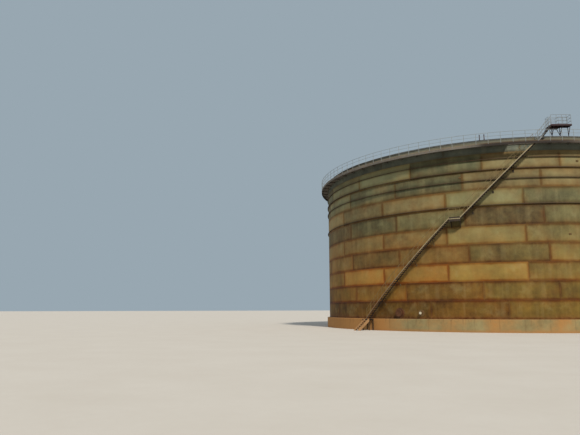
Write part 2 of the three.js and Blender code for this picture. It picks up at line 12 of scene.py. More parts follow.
import bpy
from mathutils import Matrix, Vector


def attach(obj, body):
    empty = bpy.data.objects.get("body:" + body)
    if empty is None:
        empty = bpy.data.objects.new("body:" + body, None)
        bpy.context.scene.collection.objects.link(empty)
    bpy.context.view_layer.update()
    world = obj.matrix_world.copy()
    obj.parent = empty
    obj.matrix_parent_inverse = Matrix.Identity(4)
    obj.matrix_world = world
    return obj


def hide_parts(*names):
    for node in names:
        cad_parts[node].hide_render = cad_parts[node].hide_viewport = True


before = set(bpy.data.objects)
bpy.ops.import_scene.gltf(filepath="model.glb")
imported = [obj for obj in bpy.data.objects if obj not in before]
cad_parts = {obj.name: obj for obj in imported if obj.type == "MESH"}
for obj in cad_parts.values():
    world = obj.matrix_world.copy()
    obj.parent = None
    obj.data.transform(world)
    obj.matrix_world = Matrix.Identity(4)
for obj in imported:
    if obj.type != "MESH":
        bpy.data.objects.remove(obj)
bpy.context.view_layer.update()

SCALE = 0.5
UP = Vector((0, 0, 1))
SHARP_FROM = 32  # degrees between faces
GAP = 0.0006     # between pieces that touch on the real tank

# Foundation and tank bottom
GROUND = -1.35
WALL_IN, WALL_OUT = 22.6, 23.36
WALL_PANEL = 6
BOTTOM_OUT, BOTTOM_TOP = 23.09, 0.012

# Shell: ten courses of eighteen plates. JOINTS gives one vertical joint of each course.
SHELL_IN, SHELL_OUT, SHELL_TOP = 23.0, 23.016, 19.35
SHELL_FOOT = BOTTOM_TOP + GAP
SHELL_DEGREE = math.radians(1) * SHELL_OUT  # metres of a degree
SEGMENTS = 10
SEGMENT_SPAN = 360 / SEGMENTS
COURSE = 1.98
PLATES = 18
PLATE_SPAN = 360 // PLATES
JOINTS = (-15.3, -2.6, -10.1, -4.4, -10, -5.1, -10.05, -5.25, 0, -10)
JOINT_SHIFTS = {(1, -1): 1.3}  # by course and plate
COURSES = len(JOINTS)
SEAMS_AT_RINGS = (5, 7)  # courses whose upper seam a ring hides
BEAD_WIDTH, BEAD_PROUD, BEAD_SUNK, BEAD_SHORT = 0.026, 0.004, 0.002, 0.02

# Stiffening rings, curb, wind girder and its railing. Pipes are given by their radius.
ON_SHELL = SHELL_OUT + GAP
RING_TOPS = (12.1, 14.89, 16.0, 17.16)
RING_WIDTH, RING_DEPTH, RING_PLATE = 0.13, 0.06, 0.012
RING_GUSSET, GUSSET_EVERY = 0.045, 5
CURB_WIDTH, CURB_DEPTH, CURB_PLATE = 0.1, 0.1, 0.012
WALKWAY = 18.6
GIRDER_OUT, GIRDER_PLATE, GIRDER_FLANGE = 24.0, 0.016, 0.23
GIRDER_GUSSET, GUSSET_PLATE, KICK_PLATE = (0.2, 0.1), 0.012, 0.1
SECTOR_EDGES = (-180, -102, -24, 6, 96, 180)
OPENING_FROM, OPENING_TO, OPENING_IN, OPENING_OUT = -13.1, -6.6, 23.1, 23.93
RAILING_RADIUS = 23.968
RAILING_LEVELS, RAILING_PIPES = (0.4, 0.84, 1.228), (0.017, 0.017, 0.022)
RAILING_POST = 0.024
TOE_BOARD = (0.02, 0.12)
POST_EVERY = 3
DECK_WELD_EVERY = 6

# Stair. A run is its start, end, foot, top and risers.
LANDING_TOP = 10.86
STAIR_IN, STAIR_OUT, STRINGER = 23.25, 23.87, 0.02
# The outer stringer's top strip keeps the pale stringer look; its lower strip is dark as painted
# shade.
STRINGER_ABOVE, STRINGER_BELOW, STRINGER_LIT_STRIP, STRINGER_START = 0.05, 0.12, 0.07, -55.75
LOWER_FLIGHT = (-55.95, -28.8, 0, LANDING_TOP, 54)
UPPER_FLIGHT = (-25.98, OPENING_TO, LANDING_TOP, WALKWAY, 39)
TREAD, TREAD_DEPTH = 0.188, 0.04
BEARING_BARS, BAR, END_PLATE = 6, 0.008, 0.07
BRACKET_LAST, BRACKET_EVERY, BRACKET_DEPTH, BRACKET_DROP = -12.1, 5.4, 0.79, 0.06
BRACKET_BAR, BRACKET_PLATE, BRACKET_CLEAR, PAD_WIDTH = 0.05, 0.03, 0.01, 0.18
# The landing's skirt is a dark plate that stands in for the landing's shadow, painted shade.
LANDING_SHADE_SKIRT, LANDING_BRACKET, LANDING_BEAM = 0.42, 1.05, 0.1
HANDRAIL_RADIUS = STAIR_OUT - 0.01
HANDRAIL_LEVELS, HANDRAIL_PIPES, HANDRAIL_POST = (0.52, 1.0), (0.015, 0.021), 0.017
FOOT_FROM, FOOT_TO, FOOT_IN, FOOT_OUT, FOOT_DECK = -56.9, -54, WALL_OUT + GAP, 24.1, -0.02
FOOT_PLANKS, FOOT_PLANK, FOOT_BEAM, FOOT_POST = 5, 0.04, 0.18, 0.08
STEPS_AT, STEPS_WIDTH, STEPS_RISERS, STEPS_GOING = -54.9, 0.7, 7, 0.25

# Gauging platform, with its deep bay at the left, its frames and its stair
DECK_FROM, DECK_TO, BAY_TO, DECK_EDGE = -2.3, 3.1, 0.7, 0.12
BAY_IN, DECK_IN, DECK_OUT, DECK_TOP, DECK_BEAM = 22.3, 22.96, 23.76, 20.45, 0.12
FRAME_RADIUS = 23.04
FRAMES = ((-1.45, True, (22.42, 23.64)), (0.68, True, (22.42, 23.64)),
          (DECK_TO - DECK_EDGE, False, (22.99, 23.44)))
CLIMB = (-6, DECK_FROM, WALKWAY, DECK_TOP, 8)
CLIMB_IN, CLIMB_OUT, CLIMB_STRINGER = 23.16, 23.75, 0.016
CLIMB_ABOVE, CLIMB_BELOW, CLIMB_TREAD = 0.03, 0.13, 0.2
DECK_LEVELS, CLIMB_LEVELS = (0.38, 0.73, 1.082), (0.46, 0.918)
DECK_PIPE, CLIMB_POST, FRAME_PIPE = 0.018, 0.016, 0.036
DECK_PLATE, DECK_CURB, BEAM_PLATE = 0.016, 0.05, 0.012

# Manhole and nozzle: azimuth, height, bore, neck wall, flange, reach from the shell
MANHOLE = (-45, 0.64, 0.3, 0.012, 0.4, 0.23)
NOZZLE = (-38.25, 0.65, 0.13, 0.008, 0.2, 0.25)
FLANGE = 0.028
NECK_INSIDE = 0.06
MANHOLE_PAD, NOZZLE_PAD, PAD_PLATE = 0.6, 0.38, 0.014
NUT, BOLT = 0.019, 0.011
LUGS = ((1.1, 8.77), (4.7, 16.63), (-25.8, 15.34))
STUB_POSTS, STUB_HEIGHT = (-20.1, -18.9), 0.62

# The shell's grid: its step in degrees, finer where it has holes, and its rows beside them
GRID_STEP, FINE_STEP = 0.5, 0.25
HOLE_ROWS = tuple(0.24 + 0.1 * i for i in range(9))
HOLE_MARGIN = 0.07

# Floating roof
PONTOON_IN, PONTOON_OUT, PONTOON_FOOT, PONTOON_TOP = 20.7, 22.78, 1.85, 2.55
ROOF_DECK, ROOF_DECK_PLATE = 2.1, 0.012
ROOF_LEG, ROOF_LEG_CIRCLE, ROOF_LEG_TOP = 0.06, 14.0, 2.7
SEAL_TOP, SEAL_DEPTH = 2.49, 0.42
SHEET_WIDTH, SHEET_LENGTH = 1.8, 8.0


def at(azimuth, radius, height):
    """The model's place for a real azimuth, radius and height."""
    a = math.radians(azimuth)
    return Vector((radius * math.sin(a), -radius * math.cos(a), height - GROUND)) * SCALE


def spot(azimuth, radius, height):
    """A function that gives places near a spot by metres sideways, up and outwards."""
    a = math.radians(azimuth)
    side = Vector((math.cos(a), math.sin(a), 0))
    out = Vector((math.sin(a), -math.cos(a), 0))
    origin = at(azimuth, radius, height)
    return lambda across, up, outwards: origin + (side * across + UP * up + out * outwards) * SCALE


def stations(start, end, step=1.0):
    """Azimuths from start to end, with each multiple of step between them."""
    first = math.floor(start / step) + 1
    last = math.ceil(end / step) - 1
    middle = [k * step for k in range(first, last + 1)]
    return [start] + [a for a in middle if a - start > 1e-6 and end - a > 1e-6] + [end]


def full_turn(step=1.0):
    return stations(-180, 180, step)[:-1]


def circle(radius, sides):
    """The (across, up) points of a circle, clockwise."""
    turns = (-2 * math.pi * k / sides for k in range(sides))
    return [(radius * math.cos(t), radius * math.sin(t)) for t in turns]


class Shape:
    """The joined bodies of one piece, in the model's metres."""

    def __init__(self):
        self.points = []
        self.faces = []
        self.looks = []
        self.look = 0

    def add(self, points, faces):
        first = len(self.points)
        self.points.extend(points)
        self.faces.extend([first + k for k in face] for face in faces)
        self.looks.extend([self.look] * len(faces))

    def loft(self, rings, closed=False):
        """A skin over rings of places, which turn clockwise seen from the ring that follows."""
        n = len(rings[0])
        faces = []
        for i in range(len(rings) if closed else len(rings) - 1):
            here, there = i * n, (i + 1) % len(rings) * n
            for j in range(n):
                k = (j + 1) % n
                faces.append((here + j, there + j, there + k, here + k))
        if not closed:
            faces.append(tuple(range(n)))
            faces.append(tuple((len(rings) - 1) * n + j for j in reversed(range(n))))
        self.add([place for ring in rings for place in ring], faces)

    def sweep(self, outline, azimuths, closed=False):
        """Carries an outline, anticlockwise in radius and height, round the tank's axis.

        An outline that changes on its way is a function of the azimuth.
        """
        points = outline if callable(outline) else lambda azimuth: outline
        self.loft([[at(a, r, h) for r, h in points(a)] for a in azimuths], closed)

    def band(self, azimuths, inside, outside, bottom, top, closed=False):
        """A bar of rectangular section, bent round the tank's axis."""
        points = ((inside, bottom), (outside, bottom), (outside, top), (inside, top))
        self.sweep(points, azimuths, closed)

    def prism(self, outline, shift):
        """A plate: an outline of places, and the same outline shifted."""
        normal = Vector((0, 0, 0))
        for here, there in zip(outline[1:], outline[2:]):
            normal += (here - outline[0]).cross(there - outline[0])
        if normal.dot(shift) > 0:
            outline = outline[::-1]
        self.loft([outline, [place + shift for place in outline]])

    def box(self, place, across, up, outwards):
        """A box near a spot, from its (low, high) distances."""
        (a, b), (low, high), (near, far) = across, up, outwards
        outline = [place(x, low, y) for x, y in ((a, near), (b, near), (b, far), (a, far))]
        self.prism(outline, UP * (high - low) * SCALE)

    def block(self, azimuth, inside, outside, width, bottom, top):
        """A box square to the radius at its azimuth."""
        place = spot(azimuth, inside, bottom)
        self.box(place, (-width / 2, width / 2), (0, top - bottom), (0, outside - inside))

    def radial_plate(self, azimuth, outline, thickness):
        """A plate in the radial plane at its azimuth, from (radius, height) points."""
        half = thickness / 2
        face = [spot(azimuth, r, h)(-half, 0, 0) for r, h in outline]
        end = spot(azimuth, *outline[0])(half, 0, 0)
        self.prism(face, end - face[0])

    def pipe(self, path, radius, sides=8):
        """A round bar of a real radius along a path of places."""
        rings = []
        for i, place in enumerate(path):
            along = (path[min(i + 1, len(path) - 1)] - path[max(i - 1, 0)]).normalized()
            side = along.cross(UP)
            side = Vector((1, 0, 0)) if side.length < 1e-3 else side.normalized()
            over = side.cross(along)
            turns = (2 * math.pi * (k + 0.5) / sides for k in range(sides))
            rings.append([place + (side * math.cos(t) + over * math.sin(t)) * radius * SCALE
                          for t in turns])
        self.loft(rings)

    def rail(self, azimuths, radius, height, thickness, sides=8):
        """A pipe bent round the tank's axis. Its height may be a function of the azimuth."""
        line = height if callable(height) else lambda azimuth: height
        self.pipe([at(a, radius, line(a)) for a in azimuths], thickness, sides)

    def post(self, azimuth, radius, foot, top, thickness):
        self.pipe([at(azimuth, radius, foot), at(azimuth, radius, top)], thickness)

    def turn(self, place, profile, centre=(0, 0), sides=32, closed=False):
        """A profile of (radius, outwards) points turned about a spot's outward line."""
        x, y = centre
        self.loft([[place(x + across, y + up, out) for across, up in circle(radius, sides)]
                   for radius, out in profile], closed)


def srgb(red, green, blue):
    """A colour in linear light, from the 0 to 255 values of a display."""
    def linear(value):
        value /= 255
        return value / 12.92 if value <= 0.04045 else ((value + 0.055) / 1.055) ** 2.4
    return (linear(red), linear(green), linear(blue), 1)


class Look:
    """A material of nodes. Lengths in it are real metres, as everywhere in this script."""

    def __init__(self, name, specular=0.3):
        self.material = bpy.data.materials.new(name)
        self.material.use_nodes = True
        self.tree = self.material.node_tree
        self.shader = self.tree.nodes["Principled BSDF"]
        self.shader.inputs["Specular IOR Level"].default_value = specular
        here = self.node("ShaderNodeTexCoord").outputs["Object"]
        self.place = self.stretched(here, (1 / SCALE,) * 3)

    def put(self, socket, value):
        if isinstance(value, bpy.types.NodeSocket):
            self.tree.links.new(value, socket)
        else:
            socket.default_value = value

    def node(self, kind, inputs=None, **settings):
        node = self.tree.nodes.new(kind)
        for name, value in settings.items():
            setattr(node, name, value)
        for name, value in (inputs or {}).items():
            self.put(node.inputs[name], value)
        return node

    def math(self, operation, *values, clamp=False):
        node = self.node("ShaderNodeMath", operation=operation, use_clamp=clamp)
        for socket, value in zip(node.inputs, values):
            self.put(socket, value)
        return node.outputs[0]

    def times(self, *values):
        return self.math("MULTIPLY", *values)

    def plus(self, *values):
        return self.math("ADD", *values)

    def scaled(self, value, factor, start):
        """The value times the factor, and the start added."""
        return self.math("MULTIPLY_ADD", value, factor, start)

    def most(self, *values):
        return self.math("MAXIMUM", *values)

    def least(self, *values):
        return self.math("MINIMUM", *values)

    def total(self, first, *terms):
        """The sum of a value and of (factor, value) terms, where values swing round 0.5."""
        for factor, value in terms:
            centred = self.math("SUBTRACT", value, 0.5)
            first = self.scaled(centred, factor, first)
        return self.math("ADD", first, 0, clamp=True)

    def stretched(self, vector, factors):
        node = self.node("ShaderNodeVectorMath", operation="MULTIPLY")
        self.put(node.inputs[0], vector)
        self.put(node.inputs[1], factors)
        return node.outputs[0]

    def noise(self, scale, detail, w=None, stretch=None, roughness=0.55):
        vector = self.stretched(self.place, stretch) if stretch else self.place
        inputs = {"Vector": vector, "Scale": scale, "Detail": detail, "Roughness": roughness}
        if w is None:
            return self.node("ShaderNodeTexNoise", inputs).outputs[0]
        inputs["W"] = w
        return self.node("ShaderNodeTexNoise", inputs, noise_dimensions="4D").outputs[0]

    def fade(self, value, low, high):
        """0 up to low, 1 from high on, and smooth between. Low may be the larger."""
        node = self.node("ShaderNodeMapRange", interpolation_type="SMOOTHSTEP")
        ends = (low, high, 0, 1) if low < high else (high, low, 1, 0)
        for socket, end in zip(node.inputs[1:5], ends):
            socket.default_value = end
        self.put(node.inputs["Value"], value)
        return node.outputs[0]

    def mix(self, factor, first, second, blend="MIX"):
        node = self.node("ShaderNodeMix", data_type="RGBA", blend_type=blend)
        for socket, value in zip((node.inputs[0], node.inputs[6], node.inputs[7]),
                                 (factor, first, second)):
            self.put(socket, value)
        return node.outputs[2]

    def over(self, colour, factor, strength, shade):
        """The colour with a shade of display values laid over it."""
        return self.mix(self.times(factor, strength), colour, srgb(*shade))

    def multiply(self, colour, factor, shade):
        """The colour multiplied by a shade of linear values, as far as the factor says."""
        return self.mix(factor, colour, shade, "MULTIPLY")

    def split(self, vector):
        return self.node("ShaderNodeSeparateXYZ", {"Vector": vector}).outputs

    def height(self):
        """The height of a place above the ground."""
        return self.split(self.place)[2]

    def azimuth(self):
        """The azimuth of a place in degrees, and its distance from the tank's axis."""
        x, y = self.split(self.place)[:2]
        turn = self.math("ARCTAN2", x, self.times(y, -1))
        flat = self.node("ShaderNodeCombineXYZ", {"X": x, "Y": y})
        length = self.node("ShaderNodeVectorMath", operation="LENGTH")
        self.put(length.inputs[0], flat.outputs[0])
        return self.math("DEGREES", turn), length.outputs["Value"]

    def attribute(self, name):
        """The four numbers of a face-corner value."""
        node = self.node("ShaderNodeAttribute", attribute_name=name)
        return (*self.split(node.outputs["Color"]), node.outputs["Alpha"])

    def finish(self, colour, roughness, height, relief):
        """Ends the material. Relief is the real height of its bumps, in metres."""
        self.put(self.shader.inputs["Base Color"], colour)
        self.put(self.shader.inputs["Roughness"], roughness)
        bump = self.node("ShaderNodeBump", {"Height": height, "Distance": relief * SCALE})
        self.put(self.shader.inputs["Normal"], bump.outputs["Normal"])
        return self.material


def high_up(look):
    return look.fade(look.height(), 1.0, 18.5)


def plate_tones(look, own, mottle, streak, grain):
    """The plates' tones, warm low down and cool high up, and how far a plate is grey-green."""
    tone, hue = look.attribute("plate")[:2]
    cloud = look.noise(0.35, 5, own)
    patchy = look.noise(0.9, 5, own, roughness=0.6)
    terms = ((0.75, cloud), (0.5, patchy), (0.4, mottle), (0.3, streak), (0.3, grain))
    colour = look.mix(look.total(tone, *terms), srgb(49, 41, 24), srgb(137, 116, 71))
    shade = look.mix(high_up(look), (1.22, 0.91, 0.38, 1), (0.88, 1.07, 1.36, 1))
    colour = look.multiply(colour, 1, shade)
    hues = look.total(hue, (1.6, look.noise(0.6, 4, look.plus(own, 7))), (0.8, mottle))
    tint = look.mix(hues, (1.12, 0.94, 0.85, 1), (0.9, 1.06, 1.15, 1))
    colour = look.multiply(colour, 1, tint)
    # The top course's grey-green colour is partly painted shade, matched to the girder's shadow
    # over it, and partly grime.
    slate_painted_shade = look.mix(look.total(0.47, *terms), srgb(54, 56, 50), srgb(110, 116, 104))
    grey = look.fade(hue, 0.93, 0.99)
    return look.mix(grey, colour, slate_painted_shade), grey


def seam_rust(look, colour, grey):
    """Rusted welds with a soft brown halo, and how rusted each place is."""
    left, right, below, above = look.attribute("edges")
    height = look.height()
    wander = look.scaled(look.noise(1.1, 4), 0.2, -0.1)
    across = look.plus(look.least(left, right), wander)
    along = look.plus(look.least(below, above), wander)
    upright = look.times(look.fade(across, 0.25, 0.02),
                         look.scaled(look.fade(height, 4.5, 6.5), 0.5, 0.5))
    line = look.most(upright, look.fade(along, 0.33, 0.04))
    halo = look.fade(look.least(across, along), 0.8, 0.1)
    strength = look.scaled(look.fade(look.noise(0.3, 3), 0.35, 0.62), 0.35, 0.75)
    strength = look.times(strength, look.scaled(look.fade(height, 18.6, 19.0), -0.5, 1))
    stain = look.mix(high_up(look), (0.62, 0.33, 0.04, 1), (0.68, 0.54, 0.36, 1))
    rust = look.times(line, strength)
    colour = look.multiply(colour, rust, stain)
    halo = look.times(halo, look.times(strength, 0.35))
    # No brown halo on the grey-green top-course plates, whose colour is partly painted shade.
    halo = look.times(halo, look.math("SUBTRACT", 1, grey))
    return look.multiply(colour, halo, (0.9, 0.6, 0.3, 1)), rust


def ring_darkening(look, colour):
    """The shell is darker just above every ring. Above the top ring the darkening reaches higher,
    painted shade that carries the girder's shadow down to that ring.
    """
    height, darkening = look.height(), 0.0
    for top in RING_TOPS:
        over = look.math("SUBTRACT", height, top - GROUND)
        reach = 0.75 if top == RING_TOPS[-1] else 0.45
        darkening = look.most(darkening, look.times(look.fade(over, reach, 0.0),
                                          look.fade(over, -0.1, -0.02)))
    return look.multiply(colour, look.times(darkening, 0.7), (0.55, 0.5, 0.44, 1))


def shell_look():
    """Bare rolled plate: a tone of its own for each plate, soft patches and rusted welds."""
    look = Look("rolled_shell_plate", specular=0.15)
    own = look.times(look.attribute("plate")[2], 50)
    mottle = look.noise(2.2, 6, own, roughness=0.65)
    streak = look.noise(1.5, 4, own, (1, 1, 0.06))
    grain = look.noise(22, 5)
    colour, grey = plate_tones(look, own, mottle, streak, grain)

    # Pale blotches and soft runs of rain, and brown rust that comes through in patches
    blotch = look.fade(look.noise(0.7, 5, own, roughness=0.6), 0.52, 0.7)
    colour = look.over(colour, blotch, 0.16, (134, 132, 98))
    colour = look.over(colour, look.fade(streak, 0.5, 0.68), 0.1, (128, 120, 92))
    patches = look.fade(look.noise(0.5, 6, own), 0.55, 0.72)
    colour = look.over(colour, patches, 0.3, (84, 54, 28))
    colour, rust = seam_rust(look, colour, grey)
    colour = ring_darkening(look, colour)

    # Paler above the walkway, and dusty at the foot
    rim = look.fade(look.height(), WALKWAY - GROUND - 0.1, WALKWAY - GROUND + 0.1)
    colour = look.over(colour, rim, 0.6, (98, 94, 80))
    dust = look.times(look.fade(look.height(), 2.0, 1.3), look.fade(mottle, 0.35, 0.6))
    colour = look.over(colour, dust, 0.4, (118, 84, 48))
    relief = look.scaled(rust, 0.6, look.plus(grain, mottle))
    return look.finish(colour, look.scaled(mottle, 0.25, 0.58), relief, 0.004)


def steel_look(name, dark, light, rusty, rust=0.4, streaks=0.4, dull=None, shade=None):
    """Weathered steel: two tones in clouds and mottles, with rain streaks and rust patches.

    Dull is a function that gives how far each place is multiplied by the shade.
    """
    look = Look(name)
    cloud = look.noise(0.5, 4)
    mottle = look.noise(3.2, 6, roughness=0.65)
    streak = look.noise(7, 4, stretch=(1, 1, 0.08))
    grain = look.noise(40, 4)
    value = look.total(0.5, (0.9, cloud), (0.9, mottle), (streaks, streak), (0.4, grain))
    colour = look.mix(value, srgb(*dark), srgb(*light))
    patch = look.total(0.5, (1.2, look.noise(1.3, 6)), (0.8, streak), (0.5, grain))
    colour = look.over(colour, look.fade(patch, 0.52, 0.68), rust, rusty)
    if dull:
        colour = look.multiply(colour, dull(look), shade)
    return look.finish(colour, look.scaled(mottle, 0.3, 0.6), look.plus(mottle, grain), 0.002)


def dull_low(look):
    """The stair is dusty and brown towards its foot."""
    return look.fade(look.height(), 9.5, 3.0)


def above_stair(look):
    """The girder's edge is dark over a stretch above the stair."""
    azimuth = look.azimuth()[0]
    return look.times(look.fade(azimuth, -22.5, -18.5), look.fade(azimuth, 12, -2))


def dull_flange(look):
    """The same stretch, on the flange's outer face alone."""
    return look.times(above_stair(look), look.fade(look.azimuth()[1], 23.9, 23.96))


def dull_climb(look):
    """The platform's stair is dark where it meets the deck."""
    return look.fade(look.azimuth()[0], -4.9, -3.9)


def concrete_look():
    """Cast concrete: faint panel joints, pale grey-green wear, and orange dust and rust runs."""
    look = Look("ring_wall_concrete", specular=0.25)
    tone, hue, _, across = look.attribute("panel")
    cloud = look.noise(0.5, 5)
    mottle = look.noise(3, 6, roughness=0.65)
    grain = look.noise(60, 3)
    value = look.total(tone, (1.0, cloud), (0.5, mottle), (0.3, grain))
    colour = look.mix(value, srgb(92, 76, 46), srgb(146, 134, 94))
    heaped = look.fade(look.azimuth()[0], -43, -51)
    drifts = look.total(hue, (3.0, look.noise(0.3, 4)), (0.6, mottle))
    dusty = look.most(drifts, look.times(heaped, 0.9))
    colour = look.mix(dusty, colour, srgb(150, 104, 54))
    joint = look.fade(look.plus(across, look.times(mottle, 0.1)), 0.16, 0.06)
    colour = look.over(colour, joint, 0.2, (74, 54, 34))
    height = look.height()
    splash = look.total(0.0, (0.5, mottle))
    dust = look.fade(look.math("SUBTRACT", height, splash), 0.4, 0.0)
    colour = look.over(colour, dust, 0.7, (142, 98, 54))
    runs = look.noise(5, 4, stretch=(1, 1, 0.08))
    stain = look.times(look.fade(runs, 0.56, 0.7), look.fade(height, 0.3, 1.3))
    colour = look.over(colour, stain, 0.4, (90, 60, 34))
    return look.finish(colour, look.scaled(mottle, 0.15, 0.8), look.plus(mottle, grain), 0.006)


def sheet_look(name, dark, light):
    """Plates laid in staggered rows, each with its own tone and a rusted lap weld round it."""
    look = Look(name)
    laid = look.node("ShaderNodeTexBrick", {
        "Vector": look.place, "Color1": (0, 0, 0, 1), "Color2": (1, 1, 1, 1),
        "Mortar": (0.5, 0.5, 0.5, 1), "Scale": 1.0, "Mortar Size": 0.03, "Mortar Smooth": 0.6,
        "Brick Width": SHEET_LENGTH, "Row Height": SHEET_WIDTH,
    })
    cloud = look.noise(0.35, 5)
    mottle = look.noise(2.4, 6, roughness=0.65)
    grain = look.noise(30, 4)
    tone = look.scaled(laid.outputs["Color"], 0.35, 0.3)
    value = look.total(tone, (0.9, cloud), (0.7, mottle), (0.3, grain))
    colour = look.mix(value, srgb(*dark), srgb(*light))
    patch = look.times(look.fade(look.noise(0.7, 6), 0.52, 0.66), 0.6)
    rust = look.most(look.times(laid.outputs["Fac"], 0.8), patch)
    colour = look.mix(rust, colour, srgb(138, 78, 38))
    return look.finish(colour, look.scaled(mottle, 0.25, 0.62), look.plus(mottle, grain), 0.003)


def plain_look(name, dark, light, roughness, scale=6.0, relief=0.001):
    """One soft mottle between two near tones."""
    look = Look(name)
    mottle = look.noise(scale, 5)
    grain = look.noise(scale * 9, 4)
    value = look.total(0.5, (1.4, mottle), (0.5, grain))
    colour = look.mix(value, srgb(*dark), srgb(*light))
    return look.finish(colour, roughness, look.plus(mottle, grain), relief)


PLATFORM_GREYS = ((92, 96, 98), (124, 130, 132), (108, 94, 82))
LOOKS = {
    "shell": shell_look(),
    "weld": steel_look("weld_beads", (58, 38, 22), (96, 66, 38), (108, 66, 34), 0.5),
    # Near-black, painted shade: the rings' faces take the colour of the shadow line under them.
    "ring": steel_look("stiffening_ring_steel_painted_shade", (38, 28, 16), (70, 52, 30), (84, 50, 28), 0.4),
    "girder": steel_look("wind_girder_steel", (62, 58, 52), (110, 104, 95), (104, 82, 66), 0.35,
                         dull=dull_flange, shade=(0.14, 0.1, 0.08, 1)),
    "rail": steel_look("railing_pipe", (98, 103, 104), (136, 142, 143), (116, 98, 82), 0.25),
    "toe": steel_look("toe_board_steel", (84, 76, 62), (122, 110, 90), (104, 78, 56), 0.35,
                      dull=above_stair, shade=(0.42, 0.34, 0.28, 1)),
    "handrail": steel_look("stair_handrail_pipe", (88, 76, 48), (118, 102, 66), (100, 66, 38), 0.4),
    "stringer": steel_look("stair_stringer", (102, 92, 70), (150, 138, 108), (110, 80, 54), 0.35,
                           dull=dull_low, shade=(0.85, 0.6, 0.48, 1)),
    "step": steel_look("foot_step_steel", (112, 84, 54), (160, 126, 88), (122, 82, 48), 0.4),
    # Near-black: on the flights and the landing this is painted shade of the stair's underside.
    "tread": steel_look("stair_tread_dark_and_painted_shade", (28, 22, 16), (54, 44, 32), (70, 44, 28), 0.4),
    "platform": steel_look("platform_steel", (34, 26, 30), (62, 44, 46), (74, 40, 34), 0.35),
    "platform_rail": steel_look("platform_railing", *PLATFORM_GREYS, 0.35),
    "climb": steel_look("platform_stair_steel", *PLATFORM_GREYS, 0.35, dull=dull_climb,
                        shade=(0.12, 0.08, 0.08, 1)),
    "fitting": steel_look("manhole_steel", (48, 28, 14), (88, 52, 24), (104, 58, 26), 0.4),
    "neck": steel_look("nozzle_neck_steel", (72, 54, 30), (108, 86, 48), (100, 62, 32), 0.4),
    "cover": plain_look("white_cover", (162, 154, 132), (186, 179, 156), 0.5),
    "concrete": concrete_look(),
    "sand": plain_look("foundation_sand", (116, 90, 58), (156, 126, 88), 0.95, 2.0, 0.01),
    "roof": sheet_look("roof_deck_plates", (72, 56, 40), (136, 108, 74)),
    "pontoon": steel_look("pontoon_plate", (80, 62, 42), (138, 112, 78), (120, 70, 36), 0.6, 0.2),
    "bottom": sheet_look("tank_bottom_plates", (64, 50, 34), (110, 86, 58)),
    "seal": plain_look("seal_fabric", (26, 26, 28), (52, 50, 50), 0.7, 10.0, 0.004),
    "sleeve": steel_look("leg_sleeve_steel", (60, 48, 38), (104, 84, 64), (110, 66, 36), 0.5),
}


def linked(name, data):
    """A new object, put into the scene."""
    thing = bpy.data.objects.new(name, data)
    bpy.context.scene.collection.objects.link(thing)
    return thing


def finish_piece(name, shape, looks, slot, *nodes):
    """Makes the piece and says what it rides on and which CAD nodes it stands for."""
    mesh = bpy.data.meshes.new(name)
    mesh.from_pydata(shape.points, [], shape.faces)
    for look in looks:
        mesh.materials.append(LOOKS[look])
    mesh.polygons.foreach_set("material_index", shape.looks)
    mesh.polygons.foreach_set("use_smooth", [True] * len(shape.faces))
    mesh.set_sharp_from_angle(angle=math.radians(SHARP_FROM))
    mesh.validate()
    piece = linked(name, mesh)
    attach(piece, "root")
    if nodes:
        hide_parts(*nodes)
    return piece


def corner_values(piece, name, values):
    layer = piece.data.attributes.new(name, "FLOAT_COLOR", "CORNER")
    layer.data.foreach_set("color", [number for value in values for number in value])


def corner_map(piece, places):
    """A texture map of the piece's own, from (across, up) places between 0 and 1."""
    layer = piece.data.uv_layers.new(name="OFBake")
    layer.data.foreach_set("uv", [number for place in places for number in place])


# Shell plates

TONES = {
    "bright": 0.9, "light": 0.7, "tan": 0.57, "olive": 0.44, "dull": 0.33, "dark": 0.21,
    "slate_painted_shade": 0.15,
}

# The plates of each course that start 80, 60, 40, 20 and 0 degrees before its joint in JOINTS,
# the browner ones marked with "red". The course's other plates are drawn from the same five.
SHOWN_PLATES = (
    ("red dark", "red dark", "red dark", "red dark", "dull"),
    ("red olive", "red olive", "red dark", "dull", "dull"),
    ("red tan", "red bright", "red light", "light", "olive"),
    ("red tan", "red dull", "red olive", "dull", "tan"),
    ("red light", "red tan", "red tan", "light", "olive"),
    ("red dull", "dull", "olive", "red dark", "dull"),
    ("red bright", "red olive", "red tan", "light", "dull"),
    ("light", "olive", "dull", "red olive", "red tan"),
    ("light", "bright", "olive", "red light", "red light"),
    # The top course, under the girder: grey-green, partly painted shade.
    ("slate_painted_shade", "slate_painted_shade", "slate_painted_shade", "slate_painted_shade", "slate_painted_shade"),
)


def draw_plates():
    """The tone, hue and seed of every plate, by course and by plate number."""
    lot = random.Random(19)
    plates = {}
    for course, row in enumerate(SHOWN_PLATES):
        for number in range(PLATES):
            shown = (number + 4) % PLATES
            name = row[shown] if shown < len(row) else lot.choice(row)
            hue = 0.34 if name.startswith("red ") else 0.84
            hue = 1 if name == "slate_painted_shade" else hue + lot.uniform(-0.06, 0.06)
            tone = TONES[name.split()[-1]] + lot.uniform(-0.03, 0.03)
            plates[course, number] = (tone, hue, lot.random(), 1)
    return plates


PLATE_VALUES = draw_plates()


def course_ends(course):
    """The heights of a course's lower and upper edge."""
    low = course * COURSE if course else SHELL_FOOT
    return low, SHELL_TOP if course == COURSES - 1 else (course + 1) * COURSE


def joint(course, number):
    """The azimuth of a vertical joint, at the left of the plate of that number."""
    shift = JOINT_SHIFTS.get((course, number), 0)
    return JOINTS[course] + number * PLATE_SPAN + shift


